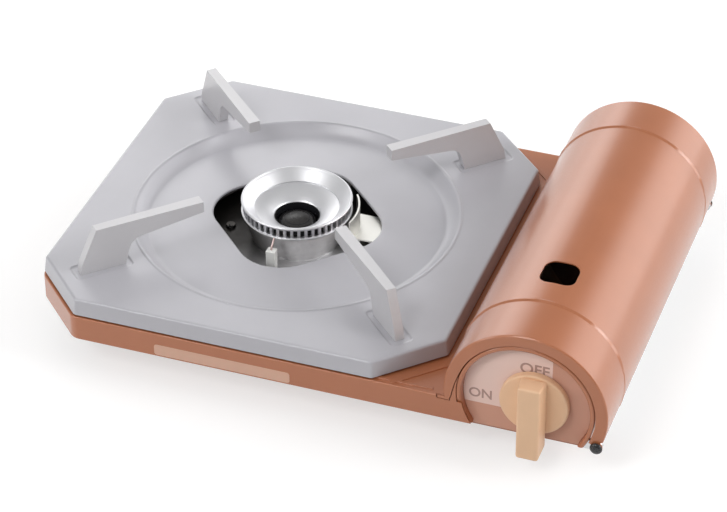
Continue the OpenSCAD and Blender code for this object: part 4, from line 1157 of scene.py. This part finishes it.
def studio():
    """World: soft light that grows towards the back, with windows and a flag; white if seen."""
    world = bpy.data.worlds.new("studio")
    world.use_nodes = True
    tree = world.node_tree
    tree.nodes.clear()
    add, wire = tree.nodes.new, tree.links.new
    sight = add("ShaderNodeTexCoord").outputs["Generated"]
    part = add("ShaderNodeSeparateXYZ")
    wire(sight, part.inputs[0])
    ramp = add("ShaderNodeValToRGB")
    for point, (position, level) in zip(ramp.color_ramp.elements, LEVELS):
        point.position = position
        point.color = (level, level, level, 1)
    depth = add("ShaderNodeMapRange")
    depth.inputs["From Min"].default_value = -1.0
    wire(part.outputs[1], depth.inputs["Value"])
    wire(depth.outputs[0], ramp.inputs[0])
    total = ramp.outputs[0]
    for aim, inner, outer, strength in LOBES:
        toward = add("ShaderNodeVectorMath")
        toward.operation = "DOT_PRODUCT"
        toward.inputs[1].default_value = Vector(aim).normalized()
        wire(sight, toward.inputs[0])
        lobe = add("ShaderNodeMapRange")
        lobe.interpolation_type = "SMOOTHSTEP"
        ends = (cos(radians(outer)), cos(radians(inner)), 0.0, strength)
        for socket, value in zip(RANGE_SOCKETS, ends):
            lobe.inputs[socket].default_value = value
        wire(toward.outputs["Value"], lobe.inputs["Value"])
        both = add("ShaderNodeMath")
        both.operation = "ADD"
        wire(total, both.inputs[0])
        wire(lobe.outputs[0], both.inputs[1])
        total = both.outputs[0]
    soft = add("ShaderNodeBackground")
    wire(total, soft.inputs[1])
    white = add("ShaderNodeBackground")
    white.inputs[0].default_value = (1, 1, 1, 1)
    paths = add("ShaderNodeLightPath")
    mix = add("ShaderNodeMixShader")
    output = add("ShaderNodeOutputWorld")
    wire(paths.outputs["Is Camera Ray"], mix.inputs[0])
    wire(soft.outputs[0], mix.inputs[1])
    wire(white.outputs[0], mix.inputs[2])
    wire(mix.outputs[0], output.inputs[0])
    return world


def long_camera(azimuth, elevation):
    """Camera with a long lens, level but for a slight roll."""
    camera = bpy.data.cameras.new("camera")
    camera.lens = LENS
    camera.clip_start, camera.clip_end = 0.05, 50
    holder = bpy.data.objects.new("camera", camera)
    bpy.context.scene.collection.objects.link(holder)
    level = cos(elevation)
    back = Vector((sin(azimuth) * level, -cos(azimuth) * level, sin(elevation)))
    right = Vector((cos(azimuth), sin(azimuth), 0))
    up = back.cross(right)
    c, s = cos(CAMERA_ROLL), sin(CAMERA_ROLL)
    right, up = c * right + s * up, c * up - s * right
    place = BURNER + CAMERA_AIM * MM + back * CAMERA_RANGE * MM
    turn = Matrix((right, up, back)).transposed().to_4x4()
    holder.matrix_world = Matrix.Translation(place) @ turn
    return holder


class STOVE_OT_stage(bpy.types.Operator):
    """Pale floor, soft lights, world and camera"""
    bl_idname = "stove.stage"
    bl_label = "Stage"

    def execute(self, context):
        scene = context.scene
        s = scene.stove_stage
        pale_floor(s.floor)
        scene.world = studio()
        softbox("side_softbox", (-1.3, -1.1, 0.75), 0.35, s.side)
        softbox("key_softbox", (-0.5, 0.9, 0.6), 0.5, s.key)
        scene.camera = long_camera(s.azimuth, s.elevation)
        scene.view_settings.view_transform = "Standard"
        return {"FINISHED"}


# ---- Add-on ----

STEPS = (STOVE_OT_stage, STOVE_OT_tray, STOVE_OT_trivet, STOVE_OT_case, STOVE_OT_plate,
         STOVE_OT_knob, STOVE_OT_dial, STOVE_OT_burner, STOVE_OT_ports, STOVE_OT_carried)


class STOVE_PT_panel(bpy.types.Panel):
    """Sidebar panel that lists the stove's pieces"""
    bl_label = "Cassette stove"
    bl_idname = "STOVE_PT_panel"
    bl_space_type = "VIEW_3D"
    bl_region_type = "UI"
    bl_category = "Stove"

    def draw(self, context):
        for step in STEPS:
            self.layout.operator(step.bl_idname)
        for key, group in SETTINGS.items():
            box = self.layout.box()
            for name in group.__annotations__:
                box.prop(getattr(context.scene, key), name)


CLASSES = (*SETTINGS.values(), *STEPS, STOVE_PT_panel)


def register():
    for cls in CLASSES:
        bpy.utils.register_class(cls)
    for key, group in SETTINGS.items():
        setattr(bpy.types.Scene, key, PointerProperty(type=group))


def unregister():
    for key in SETTINGS:
        delattr(bpy.types.Scene, key)
    for cls in reversed(CLASSES):
        bpy.utils.unregister_class(cls)


def main():
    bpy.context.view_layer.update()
    register()
    for step in STEPS:
        group, name = step.bl_idname.split(".")
        getattr(getattr(bpy.ops, group), name)()


if __name__ == "__main__":
    main()
